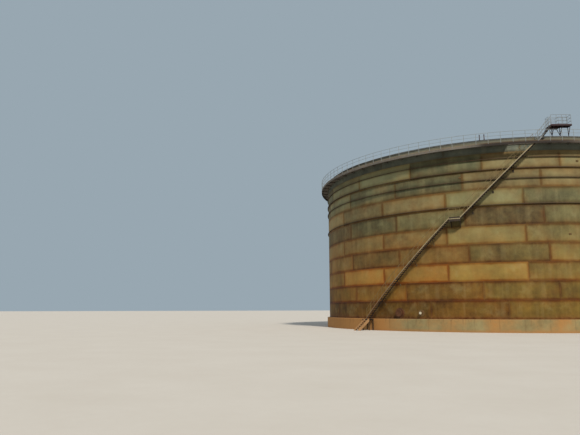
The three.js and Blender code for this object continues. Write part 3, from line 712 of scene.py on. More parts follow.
class ShellSheet:
    """One segment of the shell. Its corners are given by side, azimuth and height.

    Its map has the outside in the left half and the inside in the right one, the upright ends
    in narrow strips between and beside them, and the rims along the bottom and the top.
    """

    def __init__(self, start):
        self.start = start
        self.shape = Shape()
        self.index = {}
        self.values = {"plate": [], "edges": []}
        self.map = []

    def point(self, side, azimuth, height):
        key = (side, round(azimuth, 5), round(height, 5))
        if key not in self.index:
            self.index[key] = len(self.shape.points)
            self.shape.points.append(at(azimuth, SHELL_IN if side == "in" else SHELL_OUT, height))
        return self.index[key]

    def face(self, course, corners, strip=None):
        """A face of (side, azimuth, height) corners. A strip is one of the sheet's edges."""
        self.shape.faces.append([self.point(*corner) for corner in corners])
        self.shape.looks.append(0)
        middle = sum(corner[1] for corner in corners) / len(corners)
        number = math.floor((middle - JOINTS[course]) / PLATE_SPAN)
        if middle < joint(course, number):
            number -= 1
        left, right = joint(course, number), joint(course, number + 1)
        low, high = course_ends(course)
        hidden = 0.12 if course in SEAMS_AT_RINGS else 0
        for side, azimuth, height in corners:
            self.values["plate"].append(PLATE_VALUES[course, number % PLATES])
            sides = ((azimuth - left) * SHELL_DEGREE, (right - azimuth) * SHELL_DEGREE)
            self.values["edges"].append((*sides, height - low, high - height + hidden))
            across = (azimuth - self.start) / SEGMENT_SPAN
            up = height / SHELL_TOP
            if strip == "end":
                edge = 0.494 if middle < self.start + SEGMENT_SPAN / 2 else 0.504
                self.map.append((edge + (0.002 if side == "in" else 0), 0.01 + 0.97 * up))
            elif strip == "rim":
                edge = 0.002 if up < 0.5 else 0.99
                self.map.append((across * 0.98, edge + (0.004 if side == "in" else 0)))
            else:
                shift = 0.51 if side == "in" else 0
                self.map.append((shift + across * 0.48, 0.01 + 0.97 * up))

    def both(self, course, corners):
        """A face of the outside from (azimuth, height) corners, and the one behind it."""
        self.face(course, [("out", *corner) for corner in corners])
        self.face(course, [("in", *corner) for corner in reversed(corners)])

    def across(self, course, here, there, strip):
        """A face through the plate, on the left of the way from here to there."""
        self.face(course, [("out", *here), ("out", *there), ("in", *there), ("in", *here)], strip)


def hole_loop(hole, columns):
    """The grid corners round a hole, and the hole's own points that face them."""
    azimuth, height, bore, neck = hole[:4]
    loop = [(a, HOLE_ROWS[0]) for a in columns[:-1]]
    loop += [(columns[-1], h) for h in HOLE_ROWS[:-1]]
    loop += [(a, HOLE_ROWS[-1]) for a in reversed(columns[1:])]
    loop += [(columns[0], h) for h in reversed(HOLE_ROWS[1:])]
    rim = []
    for a, h in loop:
        t = math.atan2(h - height, (a - azimuth) * SHELL_DEGREE)
        radius = bore + neck + GAP
        rim.append((azimuth + radius * math.cos(t) / SHELL_DEGREE,
                    height + radius * math.sin(t)))
    return loop, rim


def shell_segment(k):
    """A tenth of the shell's round, with holes where necks pass through it."""
    start = -180 + k * SEGMENT_SPAN
    end = start + SEGMENT_SPAN
    holes = [hole for hole in (MANHOLE, NOZZLE) if start < hole[0] < end]
    step = FINE_STEP if holes else GRID_STEP
    columns = [start + i * step for i in range(round(SEGMENT_SPAN / step) + 1)]
    sheet = ShellSheet(start)
    for course in range(COURSES):
        low, high = course_ends(course)
        rows = [low, high]
        if holes and course == 0:
            rows = [low, *HOLE_ROWS, high]
        blocks = []
        for hole in holes if course == 0 else ():
            half = math.degrees((hole[2] + hole[3] + HOLE_MARGIN) / SHELL_OUT)
            inner = [a for a in columns if hole[0] - half - step < a < hole[0] + half + step]
            blocks.append((hole, inner))
        for a, b in zip(columns, columns[1:]):
            for c, d in zip(rows, rows[1:]):
                if c in HOLE_ROWS and d in HOLE_ROWS and any(
                        inner[0] <= a and b <= inner[-1] for hole, inner in blocks):
                    continue
                sheet.both(course, [(a, c), (b, c), (b, d), (a, d)])
        for hole, inner in blocks:
            loop, rim = hole_loop(hole, inner)
            for i in range(len(loop)):
                j = (i + 1) % len(loop)
                sheet.both(course, [loop[i], loop[j], rim[j], rim[i]])
                sheet.across(course, rim[i], rim[j], "end")
        for c, d in zip(rows, rows[1:]):
            sheet.across(course, (start, c), (start, d), "end")
            sheet.across(course, (end, d), (end, c), "end")
    for a, b in zip(columns, columns[1:]):
        sheet.across(0, (b, SHELL_FOOT), (a, SHELL_FOOT), "rim")
        sheet.across(COURSES - 1, (a, SHELL_TOP), (b, SHELL_TOP), "rim")
    name = f"shell_segment_{k + 1:02d}"
    piece = finish_piece(f"{name}_plates", sheet.shape, ["shell"], "shell_plate", name)
    for key, values in sheet.values.items():
        corner_values(piece, key, values)
    corner_map(piece, sheet.map)


def shell_welds():
    """A bead along every seam of the shell, on both sides."""
    shape = Shape()
    bead = ((-BEAD_WIDTH / 2, -BEAD_SUNK), (-BEAD_WIDTH / 5, BEAD_PROUD),
            (BEAD_WIDTH / 5, BEAD_PROUD), (BEAD_WIDTH / 2, -BEAD_SUNK))
    for radius, out in ((SHELL_OUT, 1), (SHELL_IN, -1)):
        for course in range(1, COURSES):
            section = [(radius + out * proud, course * COURSE + across) for across, proud in bead]
            shape.sweep(section[::out], full_turn(), True)
        for course in range(COURSES):
            low, high = course_ends(course)
            for number in range(-PLATES // 2, PLATES // 2):
                place = spot(joint(course, number), radius, low + BEAD_SHORT)
                section = [place(across, 0, out * proud) for across, proud in bead]
                shape.prism(section, UP * (high - low - 2 * BEAD_SHORT) * SCALE)
    finish_piece("shell_welds", shape, ["weld"], "shell_plate")


# Rings, curb, girder and railing


def gusset(shape, azimuth, foot, lip, tip, tip_foot, top, thickness):
    """A plate under a ledge. It narrows from the shell out to its tip."""
    outline = [(ON_SHELL, foot), (ON_SHELL + lip, foot), (tip, tip_foot), (tip, top),
               (ON_SHELL, top)]
    shape.radial_plate(azimuth, outline, thickness)


def stiffening_ring(k, top):
    """A ring of angle section with gussets inside it, and a splice weld once a plate."""
    shape = Shape()
    outside, under = ON_SHELL + RING_WIDTH, top - RING_PLATE
    inner = outside - RING_PLATE
    section = ((ON_SHELL, under), (inner, under), (inner, top - RING_DEPTH),
               (outside, top - RING_DEPTH), (outside, top), (ON_SHELL, top))
    shape.sweep(section, full_turn(), True)
    foot = under - RING_GUSSET
    for azimuth in full_turn(GUSSET_EVERY):
        gusset(shape, azimuth + GUSSET_EVERY / 2, foot, 0.02, inner, foot + 0.015, under, 0.01)
    for azimuth in full_turn(PLATE_SPAN):
        shape.block(azimuth + 5.5, ON_SHELL + 0.01, outside + 0.003, 0.02, top - 0.02, top + 0.003)
    name = f"stiffening_ring_{k}"
    # The ring's near-black look is painted shade.
    finish_piece(f"{name}_steel", shape, ["ring"], "ring_steel", name)


def curb_angle():
    shape = Shape()
    under = SHELL_TOP - CURB_PLATE
    shape.band(full_turn(), ON_SHELL, ON_SHELL + CURB_WIDTH, under, SHELL_TOP, True)
    shape.band(full_turn(), ON_SHELL, ON_SHELL + CURB_PLATE, SHELL_TOP - CURB_DEPTH, under, True)
    finish_piece("curb_angle_steel", shape, ["girder"], "ring_steel", "curb_angle")


def wind_girder(k):
    """A sector of the walkway: plate, hanging flange, gussets, cross welds and kick plates."""
    start, end = SECTOR_EDGES[k], SECTOR_EDGES[k + 1]
    shape = Shape()
    under, web_out = WALKWAY - GIRDER_PLATE, GIRDER_OUT - GIRDER_PLATE
    shape.band(stations(start, end), web_out, GIRDER_OUT, WALKWAY - GIRDER_FLANGE, WALKWAY)
    if start < OPENING_FROM and end > OPENING_TO:
        for run in (stations(start, OPENING_FROM), stations(OPENING_TO, end)):
            shape.band(run, ON_SHELL, web_out, under, WALKWAY)
        beside = stations(OPENING_FROM, OPENING_TO)
        shape.band(beside, ON_SHELL, OPENING_IN, under, WALKWAY)
        shape.band(beside, OPENING_OUT, web_out, under, WALKWAY)
        kick = WALKWAY + KICK_PLATE
        shape.band(beside, OPENING_IN - 0.01, OPENING_IN, under, kick)
        shape.block(OPENING_FROM, OPENING_IN, OPENING_OUT, 0.01, under, kick)
    else:
        shape.band(stations(start, end), ON_SHELL, web_out, under, WALKWAY)
    root, tip = (WALKWAY - depth for depth in GIRDER_GUSSET)
    for azimuth in full_turn(GUSSET_EVERY):
        azimuth += GUSSET_EVERY / 2
        if start < azimuth < end and not OPENING_FROM - 1 < azimuth < OPENING_TO + 1:
            gusset(shape, azimuth, root, 0.06, web_out, tip, under, GUSSET_PLATE)
    for azimuth in stations(start, end, DECK_WELD_EVERY)[:-1]:
        if not OPENING_FROM < azimuth < OPENING_TO:
            shape.block(azimuth + 0.1, ON_SHELL + 0.03, GIRDER_OUT - 0.04, 0.024,
                        WALKWAY - 0.002, WALKWAY + 0.004)
    name = f"wind_girder_{k + 1}"
    finish_piece(f"{name}_steel", shape, ["girder"], "girder_steel", name)


def walkway_railing(k):
    """Pipe posts with foot plates, three rails and a toe board."""
    start, end = SECTOR_EDGES[k], SECTOR_EDGES[k + 1]
    shape = Shape()
    run = stations(start, end)
    radius, foot, top = RAILING_RADIUS, WALKWAY + GAP, WALKWAY + RAILING_LEVELS[-1]
    for level, thickness in zip(RAILING_LEVELS, RAILING_PIPES):
        shape.rail(run, radius, WALKWAY + level, thickness, 6)
    shape.look = 1
    low, high = TOE_BOARD
    shape.band(run, radius - 0.032, radius - 0.026, WALKWAY + low, WALKWAY + high)
    shape.look = 0
    for azimuth in stations(start, end, POST_EVERY)[:-1]:
        shape.post(azimuth, radius, foot, top, RAILING_POST)
        shape.block(azimuth, radius - 0.06, radius + 0.03, 0.11, foot, WALKWAY + 0.01)
    name = f"walkway_railing_{k + 1}"
    finish_piece(f"{name}_pipes", shape, ["rail", "toe"], "railing_steel", name)


# Stair


def flight_height(run, azimuth):
    start, end, foot, top = run[:4]
    return foot + (azimuth - start) / (end - start) * (top - foot)


def stair_height(azimuth):
    """The height of the whole stair's line, with its landing."""
    if azimuth <= LOWER_FLIGHT[1]:
        return flight_height(LOWER_FLIGHT, azimuth)
    if azimuth < UPPER_FLIGHT[0]:
        return LANDING_TOP
    return flight_height(UPPER_FLIGHT, azimuth)


def stringer(shape, run, start, sides, above, below, floor):
    """A stringer of one flight, cut level where it meets a floor."""
    first, end, foot, top = run[:4]
    azimuths = set(stations(start, end))
    for rise in (below, -above):
        meets = first + (floor + rise - foot) * (end - first) / (top - foot)
        if start < meets < end:
            azimuths.add(meets)
    inside, outside = sides

    def outline(azimuth):
        line = flight_height(run, azimuth)
        low, high = max(line - below, floor), max(line + above, floor)
        return ((inside, low), (outside, low), (outside, high), (inside, high))
    shape.sweep(outline, sorted(azimuths))


def grating_tread(shape, azimuth, height, inside, outside, going):
    """A tread of bearing bars and cross bars with a nosing, between two end plates."""
    width = outside - inside
    place = spot(azimuth, inside, height)
    whole = (-going / 2, going / 2)
    for k in range(BEARING_BARS):
        across = -going / 2 + going * (k + 0.5) / BEARING_BARS
        shape.box(place, (across - BAR / 2, across + BAR / 2), (-TREAD_DEPTH, 0), (0, width))
    for across in (-going / 2 - 0.004, going / 2 - 0.006):
        shape.box(place, (across, across + 0.01), (-TREAD_DEPTH - 0.04, 0.002), (0, width))
    for k in range(1, 4):
        out = width * k / 4
        shape.box(place, whole, (-0.012, -0.002), (out - BAR / 2, out + BAR / 2))
    for out in (0, width - BAR):
        shape.box(place, whole, (-END_PLATE, 0), (out, out + BAR))


def grating_treads(shape, run, inside, outside, going):
    start, end, foot, top, risers = run
    for k in range(1, risers):
        azimuth = start + (k + 0.5) * (end - start) / risers
        grating_tread(shape, azimuth, foot + k * (top - foot) / risers, inside, outside, going)


def stair_bracket(shape, azimuth, top, depth, pad_look):
    """An open frame under the stair: a bar along the top, a brace, and pads on the shell.

    Each is cut where it would meet a stiffening ring.
    """
    tip, thick, clear = STAIR_OUT - 0.01, BRACKET_BAR, BRACKET_CLEAR
    beyond = ON_SHELL + RING_WIDTH + clear
    near = ON_SHELL
    pads = [(top - depth - 0.06, top - depth + 0.2), (top - 0.12, top)]
    for ring in RING_TOPS:
        low, high = ring - RING_DEPTH - clear, ring + clear
        if low < top and top - thick < high:
            near = beyond
        cut = []
        for foot, head in pads:
            cut += [(a, b) for a, b in ((foot, min(head, low)), (max(foot, high), head))
                    if b - a > 0.03]
        pads = cut
    foot, head = top - depth, top - thick
    shape.radial_plate(azimuth, [(near, head), (tip, head), (tip, top), (near, top)],
                       BRACKET_PLATE)
    slope = (head - foot) / (tip - 0.06 - ON_SHELL)
    start = ON_SHELL
    for ring in RING_TOPS:
        if ring - RING_DEPTH - clear < foot + slope * (RING_WIDTH + clear) and ring + clear > foot:
            start = beyond
    low = foot + slope * (start - ON_SHELL)
    shape.radial_plate(azimuth, [(start, low), (tip - 0.06, head), (tip - 0.06 - thick, head),
                                 (start, low + thick)], BRACKET_PLATE)
    look, shape.look = shape.look, pad_look
    for foot, head in pads:
        shape.block(azimuth, ON_SHELL - 0.0005, ON_SHELL + 0.014, PAD_WIDTH, foot, head)
    shape.look = look


def stair_flight(name, run, first, floors, pad_look):
    """Stringers from a first azimuth on, grating treads, and brackets a fixed step apart.

    The outer stringer is pale along its top strip; below it, the near-black tread look on it, on
    the inner stringer, the treads and the brackets is painted shade of the stair's underside.
    """
    shape = Shape()
    sides = (STAIR_OUT - STRINGER, STAIR_OUT)
    stringer(shape, run, first, sides, STRINGER_ABOVE, STRINGER_LIT_STRIP, floors[1])
    # Painted shade from here: the near-black tread look on the outer stringer's lower strip, the
    # inner stringer, the treads and the brackets.
    shape.look = 1
    stringer(shape, run, first, sides, -STRINGER_LIT_STRIP - GAP, STRINGER_BELOW, floors[1])
    sides = (STAIR_IN, STAIR_IN + STRINGER)
    stringer(shape, run, first, sides, STRINGER_ABOVE, STRINGER_BELOW, floors[0])
    grating_treads(shape, run, STAIR_IN + STRINGER, STAIR_OUT - STRINGER, TREAD)
    azimuth = BRACKET_LAST
    while azimuth > run[0] + 1:
        top = flight_height(run, azimuth) - BRACKET_DROP
        if azimuth < run[1] - 1 and top > BRACKET_DEPTH:
            stair_bracket(shape, azimuth, top, BRACKET_DEPTH, pad_look)
        azimuth -= BRACKET_EVERY
    finish_piece(f"{name}_steel", shape, ["stringer", "tread", "neck"], "stair_steel", name)


def stair_landing():
    shape = Shape()
    start, end = LOWER_FLIGHT[1], UPPER_FLIGHT[0]
    run = stations(start, end, 0.6)
    edge = STAIR_OUT - STRINGER
    shape.band(run, edge, STAIR_OUT, LANDING_TOP - 0.18, LANDING_TOP - 0.09)
    # From here on the near-black tread look; the dark skirt plate under the outer edge is painted
    # shade of the landing.
    shape.look = 1
    shape.band(run, edge, STAIR_OUT, LANDING_TOP - 0.09 + GAP, LANDING_TOP + 0.06)
    under = LANDING_TOP - 0.012
    shape.band(run, ON_SHELL, edge, under, LANDING_TOP)
    for radius in (ON_SHELL + 0.2, ON_SHELL + 0.45):
        shape.band(run, radius, radius + 0.01, LANDING_TOP - LANDING_BEAM, under)
    foot, shade_skirt, tip = LANDING_TOP - LANDING_BRACKET, LANDING_TOP - LANDING_SHADE_SKIRT, STAIR_OUT - 0.03
    for azimuth in (start + 0.2, end - 0.2):
        gusset(shape, azimuth, foot, 0.06, tip, shade_skirt, under, 0.014)
    shape.band(run, STAIR_OUT - 0.028, STAIR_OUT - 0.022, shade_skirt, under)
    finish_piece("stair_landing_steel", shape, ["stringer", "tread"], "stair_steel",
                 "stair_landing")


def stair_handrail():
    """The outer handrail: two rails that follow the stair, on posts."""
    shape = Shape()
    start, end = LOWER_FLIGHT[0] + 0.4, UPPER_FLIGHT[1] - 0.4
    bends = (LOWER_FLIGHT[1], UPPER_FLIGHT[0])
    run = sorted({*stations(start, end), *bends})
    for level, thickness in zip(HANDRAIL_LEVELS, HANDRAIL_PIPES):
        shape.rail(run, HANDRAIL_RADIUS, lambda a: stair_height(a) + level, thickness)
    posts = [start + 0.1, end - 0.1, *bends]
    posts += [a for a in stations(start, end, 1.5)[1:-1]
              if all(abs(a - bend) > 1 for bend in (start, end, *bends))]
    for azimuth in posts:
        line = stair_height(azimuth)
        shape.post(azimuth, HANDRAIL_RADIUS, line + STRINGER_ABOVE + 0.005,
                   line + HANDRAIL_LEVELS[-1], HANDRAIL_POST)
    finish_piece("stair_handrail_pipes", shape, ["handrail"], "railing_steel", "stair_handrail")


def foot_steps(shape):
    """Straight steps from the landing at the stair's foot outwards to the ground."""
    place = spot(STEPS_AT, FOOT_OUT, 0)
    rise = (FOOT_DECK - GROUND) / STEPS_RISERS
    half, plate = STEPS_WIDTH / 2, 0.024
    for k in range(1, STEPS_RISERS):
        height, out = FOOT_DECK - k * rise, (k - 1) * STEPS_GOING
        shape.box(place, (-half + plate, half - plate), (height - 0.04, height), (out, out + 0.26))
    top, reach = FOOT_DECK - 0.02, (STEPS_RISERS - 1) * STEPS_GOING
    side = ((top, -plate), (top - 1.5 * rise, -plate), (GROUND, reach - STEPS_GOING / 2),
            (GROUND, reach + STEPS_GOING), (GROUND + rise / 2, reach + STEPS_GOING),
            (top, STEPS_GOING / 2))
    for across in (-half, half - plate):
        outline = [place(across, up, out) for up, out in side]
        shape.prism(outline, place(across + plate, 0, 0) - place(across, 0, 0))


def stair_foot():
    """A landing of planks on posts beside the ring wall, with steps down to the ground."""
    shape = Shape()
    shape.look = 1
    width = (FOOT_OUT - FOOT_IN) / FOOT_PLANKS
    run = stations(FOOT_FROM, FOOT_TO, 0.5)
    for k in range(FOOT_PLANKS):
        inside = FOOT_IN + k * width
        shape.band(run, inside, inside + width - 0.012, FOOT_DECK - FOOT_PLANK, FOOT_DECK)
    face, top = FOOT_OUT - 0.005, FOOT_DECK - 0.03
    beams = stations(FOOT_FROM + 0.1, FOOT_TO - 0.1, 0.5)
    for inside in (FOOT_IN + 0.01, face - 0.03):
        shape.band(beams, inside, inside + 0.03, FOOT_DECK - FOOT_BEAM, top)
    for azimuth in (FOOT_FROM + 0.2, FOOT_TO - 0.2):
        shape.block(azimuth, face - FOOT_POST, face, FOOT_POST, GROUND, top)
        shape.block(azimuth, FOOT_IN + 0.01, FOOT_IN + FOOT_POST, FOOT_POST, GROUND, top)
        shape.block(azimuth, FOOT_IN + 0.03, face - 0.02, 0.05, FOOT_DECK - 0.14, top - 0.01)
    shape.look = 0
    foot_steps(shape)
    finish_piece("stair_foot_steel", shape, ["step", "tread"], "stair_steel", "stair_foot")


# Gauging platform


def platform_deck():
    """The deck plates of both bays, with a low curb along their edges."""
    shape = Shape()
    bays = ((DECK_FROM, BAY_TO, BAY_IN), (BAY_TO, DECK_TO, DECK_IN))
    for start, end, inside in bays:
        run = stations(start, end, 0.5)
        shape.band(run, inside, DECK_OUT, DECK_TOP - DECK_PLATE, DECK_TOP)
        for edge in (inside + 0.004, DECK_OUT - 0.01):
            shape.band(run, edge, edge + 0.006, DECK_TOP - 0.004, DECK_TOP + DECK_CURB)
    for azimuth, inside, outside in ((DECK_TO - 0.03, DECK_IN + 0.01, DECK_OUT - 0.01),
                                     (DECK_FROM + 0.03, BAY_IN + 0.01, CLIMB_IN - 0.05),
                                     (BAY_TO - 0.02, BAY_IN + 0.01, DECK_IN + 0.004)):
        shape.block(azimuth, inside, outside, 0.006, DECK_TOP - 0.004, DECK_TOP + DECK_CURB)
    finish_piece("platform_deck_steel", shape, ["platform"], "platform_steel", "platform_deck")


def channel(shape, run, inside, outside, bottom, top, web_outside):
    """A channel bent round the tank, open towards one side."""
    web = (outside - 0.01, outside) if web_outside else (inside, inside + 0.01)
    shape.band(run, *web, bottom, top)
    for low in (bottom, top - BEAM_PLATE):
        shape.band(run, inside, outside, low, low + BEAM_PLATE)


def cross_beam(shape, azimuth, bottom, top):
    """An I beam along the radius, between the channels."""
    near, far = (BAY_IN if azimuth < BAY_TO else DECK_IN) + 0.01, DECK_OUT - 0.01
    shape.block(azimuth, near, far, BEAM_PLATE, bottom + 0.01, top - 0.004)
    for low in (bottom, top - 0.014):
        shape.block(azimuth, near, far, 0.06, low, low + 0.01)


def platform_frame():
    """Channels under the deck, cross beams, and the frames on the shell's top edge."""
    shape = Shape()
    top = DECK_TOP - DECK_PLATE - GAP
    bottom = top - DECK_BEAM
    for start, end, inside in ((DECK_FROM, BAY_TO, BAY_IN), (BAY_TO - DECK_EDGE, DECK_TO, DECK_IN)):
        run = stations(start, end, 0.5)
        channel(shape, run, inside, inside + 0.06, bottom, top, False)
    channel(shape, stations(DECK_FROM, DECK_TO, 0.5), DECK_OUT - 0.06, DECK_OUT, bottom, top, True)
    for azimuth in (DECK_FROM + DECK_EDGE, -0.4, 1.85):
        cross_beam(shape, azimuth, bottom, top)
    rim = SHELL_TOP + GAP
    for azimuth, post, arms in FRAMES:
        cross_beam(shape, azimuth, bottom, top)
        shape.block(azimuth, FRAME_RADIUS - 0.06, FRAME_RADIUS + 0.06, 0.16, rim, rim + 0.016)
        head = bottom + 0.02 if post else rim + 0.07
        shape.block(azimuth, FRAME_RADIUS - 0.028, FRAME_RADIUS + 0.028, 0.056, rim + 0.01, head)
        for arm in arms:
            ends = [at(azimuth, FRAME_RADIUS, rim + 0.07), at(azimuth, arm, bottom + 0.02)]
            shape.pipe(ends, FRAME_PIPE)
    finish_piece("platform_frame_steel", shape, ["platform"], "platform_steel", "platform_frame")


def platform_railing():
    """Pipe railing round the deck, open where the stair arrives."""
    shape = Shape()
    near, far, bay_far = DECK_OUT - 0.028, DECK_IN + 0.028, BAY_IN + 0.028
    door = CLIMB_IN - 0.054
    left, right, corner = DECK_FROM + DECK_EDGE, DECK_TO - DECK_EDGE, BAY_TO - DECK_EDGE
    for level in DECK_LEVELS:
        h = DECK_TOP + level
        for r, start, end in ((near, left, right), (bay_far, left, corner), (far, corner, right)):
            shape.rail(stations(start, end, 0.5), r, h, DECK_PIPE)
        for a, start, end in ((right, far, near), (corner, bay_far, far), (left, bay_far, door)):
            shape.pipe([at(a, start, h), at(a, end, h)], DECK_PIPE)
    posts = [(left, bay_far), (left, door), (left, near), (-0.8, near), (-0.8, bay_far)]
    posts += [(corner, near), (corner, bay_far), (corner, far), (1.8, near), (1.8, far)]
    posts += [(right, near), (right, far)]
    for azimuth, r in posts:
        shape.post(azimuth, r, DECK_TOP + GAP, DECK_TOP + DECK_LEVELS[-1], DECK_PIPE)
        shape.block(azimuth, r - 0.02, r + 0.02, 0.08, DECK_TOP + GAP, DECK_TOP + 0.012)
    finish_piece("platform_railing_pipes", shape, ["platform_rail"], "railing_steel",
                 "platform_railing")


def platform_stair():
    """The short stair up from the walkway: stringers, open treads and two handrails."""
    shape = Shape()
    for inside in (CLIMB_IN, CLIMB_OUT - CLIMB_STRINGER):
        stringer(shape, CLIMB, CLIMB[0], (inside, inside + CLIMB_STRINGER), CLIMB_ABOVE,
                 CLIMB_BELOW, WALKWAY + GAP)
    shape.look = 1
    grating_treads(shape, CLIMB, CLIMB_IN + CLIMB_STRINGER, CLIMB_OUT - CLIMB_STRINGER,
                   CLIMB_TREAD)
    shape.look = 2
    start, end = CLIMB[:2]
    for r in (CLIMB_IN + 0.02, CLIMB_OUT - 0.02):
        for level in CLIMB_LEVELS:
            shape.rail(stations(start, end, 0.5), r, lambda a: flight_height(CLIMB, a) + level,
                       DECK_PIPE)
        for azimuth in (start + 0.12, start + 1.3, start + 2.5, end - 0.12):
            line = flight_height(CLIMB, azimuth)
            foot = max(line - 0.06, WALKWAY + GAP)
            shape.post(azimuth, r, foot, line + CLIMB_LEVELS[-1], CLIMB_POST)
    looks = ["climb", "tread", "platform_rail"]
    finish_piece("platform_stair_steel", shape, looks, "platform_steel", "platform_stair")


# Fittings on the shell


def bolt_ring(shape, place, radius, count, outwards, length):
    """Hexagon nuts with bolt ends round a flange, on both of its faces."""
    for k in range(count):
        t = 2 * math.pi * (k + 0.5) / count
        centre = (radius * math.cos(t), radius * math.sin(t))
        end, back = outwards + length, outwards - 0.09
        shape.turn(place, [(NUT, outwards), (NUT, end)], centre, 6)
        shape.turn(place, [(BOLT, end), (BOLT, end + 0.012)], centre, 8)
        shape.turn(place, [(NUT, back), (NUT, back + length)], centre, 6)


def flanged_neck(name, fitting, pad, look):
    """A neck through the shell with its flange, and a reinforcing plate round its root."""
    azimuth, height, bore, wall, flange, reach = fitting
    shape = Shape()
    place = spot(azimuth, SHELL_OUT, height)
    inside = SHELL_IN - SHELL_OUT - NECK_INSIDE
    profile = [
        (bore, inside), (bore + wall, inside), (bore + wall, reach - FLANGE - 0.03),
        (bore + wall + 0.014, reach - FLANGE), (flange - 0.004, reach - FLANGE),
        (flange, reach - FLANGE + 0.004), (flange, reach), (bore, reach),
    ]
    shape.turn(place, profile, closed=True, sides=48)
    rings = []
    inner = bore + wall + GAP
    for radius, lift in ((inner, 0), (pad, 0), (pad, PAD_PLATE), (inner, PAD_PLATE)):
        rings.append([at(azimuth + math.degrees(math.asin(across / SHELL_OUT)), ON_SHELL + lift,
                         height + up) for across, up in circle(radius, 48)])
    shape.loft(rings, closed=True)
    finish_piece(f"{name}_steel", shape, [look], "fitting_steel", name)


def manhole_cover():
    """A blind flange with its bolts and a lifting handle."""
    azimuth, height, *_, flange, reach = MANHOLE
    shape = Shape()
    place = spot(azimuth, SHELL_OUT + reach + GAP, height)
    shape.turn(place, [(flange, 0), (flange, 0.022), (flange - 0.004, 0.026), (0.16, 0.026),
                       (0.15, 0.022)], sides=48)
    bolt_ring(shape, place, flange - 0.045, 20, 0.026, 0.02)
    handle = [place(-0.09, 0.02, 0.02), place(-0.09, 0.02, 0.08), place(0.09, 0.02, 0.08),
              place(0.09, 0.02, 0.02)]
    for start, end in zip(handle, handle[1:]):
        shape.pipe([start, end], 0.01)
    finish_piece("manhole_cover_steel", shape, ["fitting"], "fitting_steel", "manhole_cover")


def nozzle_cover():
    """A white temporary cover over the nozzle's flange, with its rim and clips."""
    azimuth, height, *_, flange, reach = NOZZLE
    shape = Shape()
    place = spot(azimuth, SHELL_OUT + reach + GAP, height)
    shape.turn(place, [(flange, 0), (flange, 0.012), (flange - 0.004, 0.016)], sides=48)
    shape.look = 1
    cap = [(flange - 0.06, 0.0166), (flange - 0.06, 0.022), (flange - 0.068, 0.024),
           (0.05, 0.024)]
    shape.turn(place, cap, sides=48)
    finish_piece("nozzle_cover_cap", shape, ["neck", "cover"], "white_cover", "nozzle_cover")
    clips = Shape()
    bolt_ring(clips, place, flange - 0.018, 8, 0.022, 0.012)
    finish_piece("nozzle_cover_bolts", clips, ["neck"], "fitting_steel")


def shell_lugs():
    """Erection lugs left on the shell, and the stub posts on its top edge."""
    shape = Shape()
    for azimuth, height in LUGS:
        place = spot(azimuth, ON_SHELL, height)
        shape.box(place, (-0.14, 0.14), (-0.1, 0.1), (0, 0.012))
        for across in (-0.08, 0.08):
            outline = [place(across - 0.01, -0.09, 0.012), place(across - 0.01, -0.02, 0.11),
                       place(across - 0.01, 0.06, 0.11), place(across - 0.01, 0.09, 0.012)]
            shape.prism(outline, place(across + 0.01, 0, 0) - place(across - 0.01, 0, 0))
    finish_piece("shell_lugs", shape, ["neck"], "ring_steel")
    stubs = Shape()
    for azimuth in STUB_POSTS:
        place = spot(azimuth, ON_SHELL + 0.05, SHELL_TOP)
        stubs.box(place, (-0.05, 0.05), (GAP, STUB_HEIGHT), (-0.05, 0.05))
        stubs.box(place, (-0.09, 0.09), (GAP, 0.016), (-0.09, 0.05))
    finish_piece("rim_stub_posts", stubs, ["platform"], "platform_steel")


# Foundation and tank bottom


def ring_wall():
    """Cast concrete in panels, each with its own tone, and a chamfer along the top edge."""
    lot = random.Random(5)
    shape = Shape()
    chamfer = 0.03
    outline = ((WALL_IN, GROUND), (WALL_OUT, GROUND), (WALL_OUT, -GAP - chamfer),
               (WALL_OUT - chamfer, -GAP), (WALL_IN, -GAP))
    shape.sweep(outline, full_turn(), True)
    piece = finish_piece("ring_wall_cast", shape, ["concrete"], "ring_wall_concrete", "ring_wall")
    tones = [(lot.uniform(0.48, 0.52), lot.uniform(0.24, 0.28), lot.random())
             for k in range(360 // WALL_PANEL)]
    metres = math.radians(1) * WALL_OUT
    values = []
    for i in range(360):
        number = i // WALL_PANEL
        for j in range(len(outline)):
            for step in (0, 1, 1, 0):
                run = i + step - number * WALL_PANEL
                values.append((*tones[number], min(run, WALL_PANEL - run) * metres))
    corner_values(piece, "panel", values)


def foundation():
    """The ring wall, the tank bottom with a small disc in its middle, and the sand's look."""
    ring_wall()
    shape = Shape()
    shape.band(full_turn(2), 0.02, BOTTOM_OUT, 0, BOTTOM_TOP, True)
    shape.prism([at(a, 0.021, 0.0) for a in full_turn(30)], UP * BOTTOM_TOP * SCALE)
    finish_piece("bottom_plate_steel", shape, ["bottom"], "bottom_steel", "bottom_plate")
    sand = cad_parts["foundation_fill"]
    for slot in sand.material_slots:
        slot.material = LOOKS["sand"]


# Floating roof


def roof_pontoon():
    """The pontoon ring, with its bulkhead welds and a manway on each compartment."""
    shape = Shape()
    shape.band(full_turn(), PONTOON_IN, PONTOON_OUT, PONTOON_FOOT, PONTOON_TOP, True)
    shape.band(full_turn(), PONTOON_OUT - 0.012, PONTOON_OUT, PONTOON_TOP, PONTOON_TOP + 0.08, True)
    shape.look = 1
    middle = (PONTOON_IN + PONTOON_OUT) / 2
    for azimuth in full_turn(PLATE_SPAN):
        shape.block(azimuth, PONTOON_IN + 0.01, PONTOON_OUT - 0.02, 0.03, PONTOON_TOP - 0.002,
                    PONTOON_TOP + 0.005)
        low, high = at(azimuth + 10, middle, PONTOON_TOP), UP * 0.12 * SCALE
        for foot, radius, rise in ((low, 0.26, high), (low + high, 0.31, UP * 0.02 * SCALE)):
            shape.prism([foot + Vector((x, y, 0)) * SCALE for x, y in circle(radius, 24)], rise)
    finish_piece("roof_pontoon_plates", shape, ["pontoon", "sleeve"], "roof_steel", "roof_pontoon")


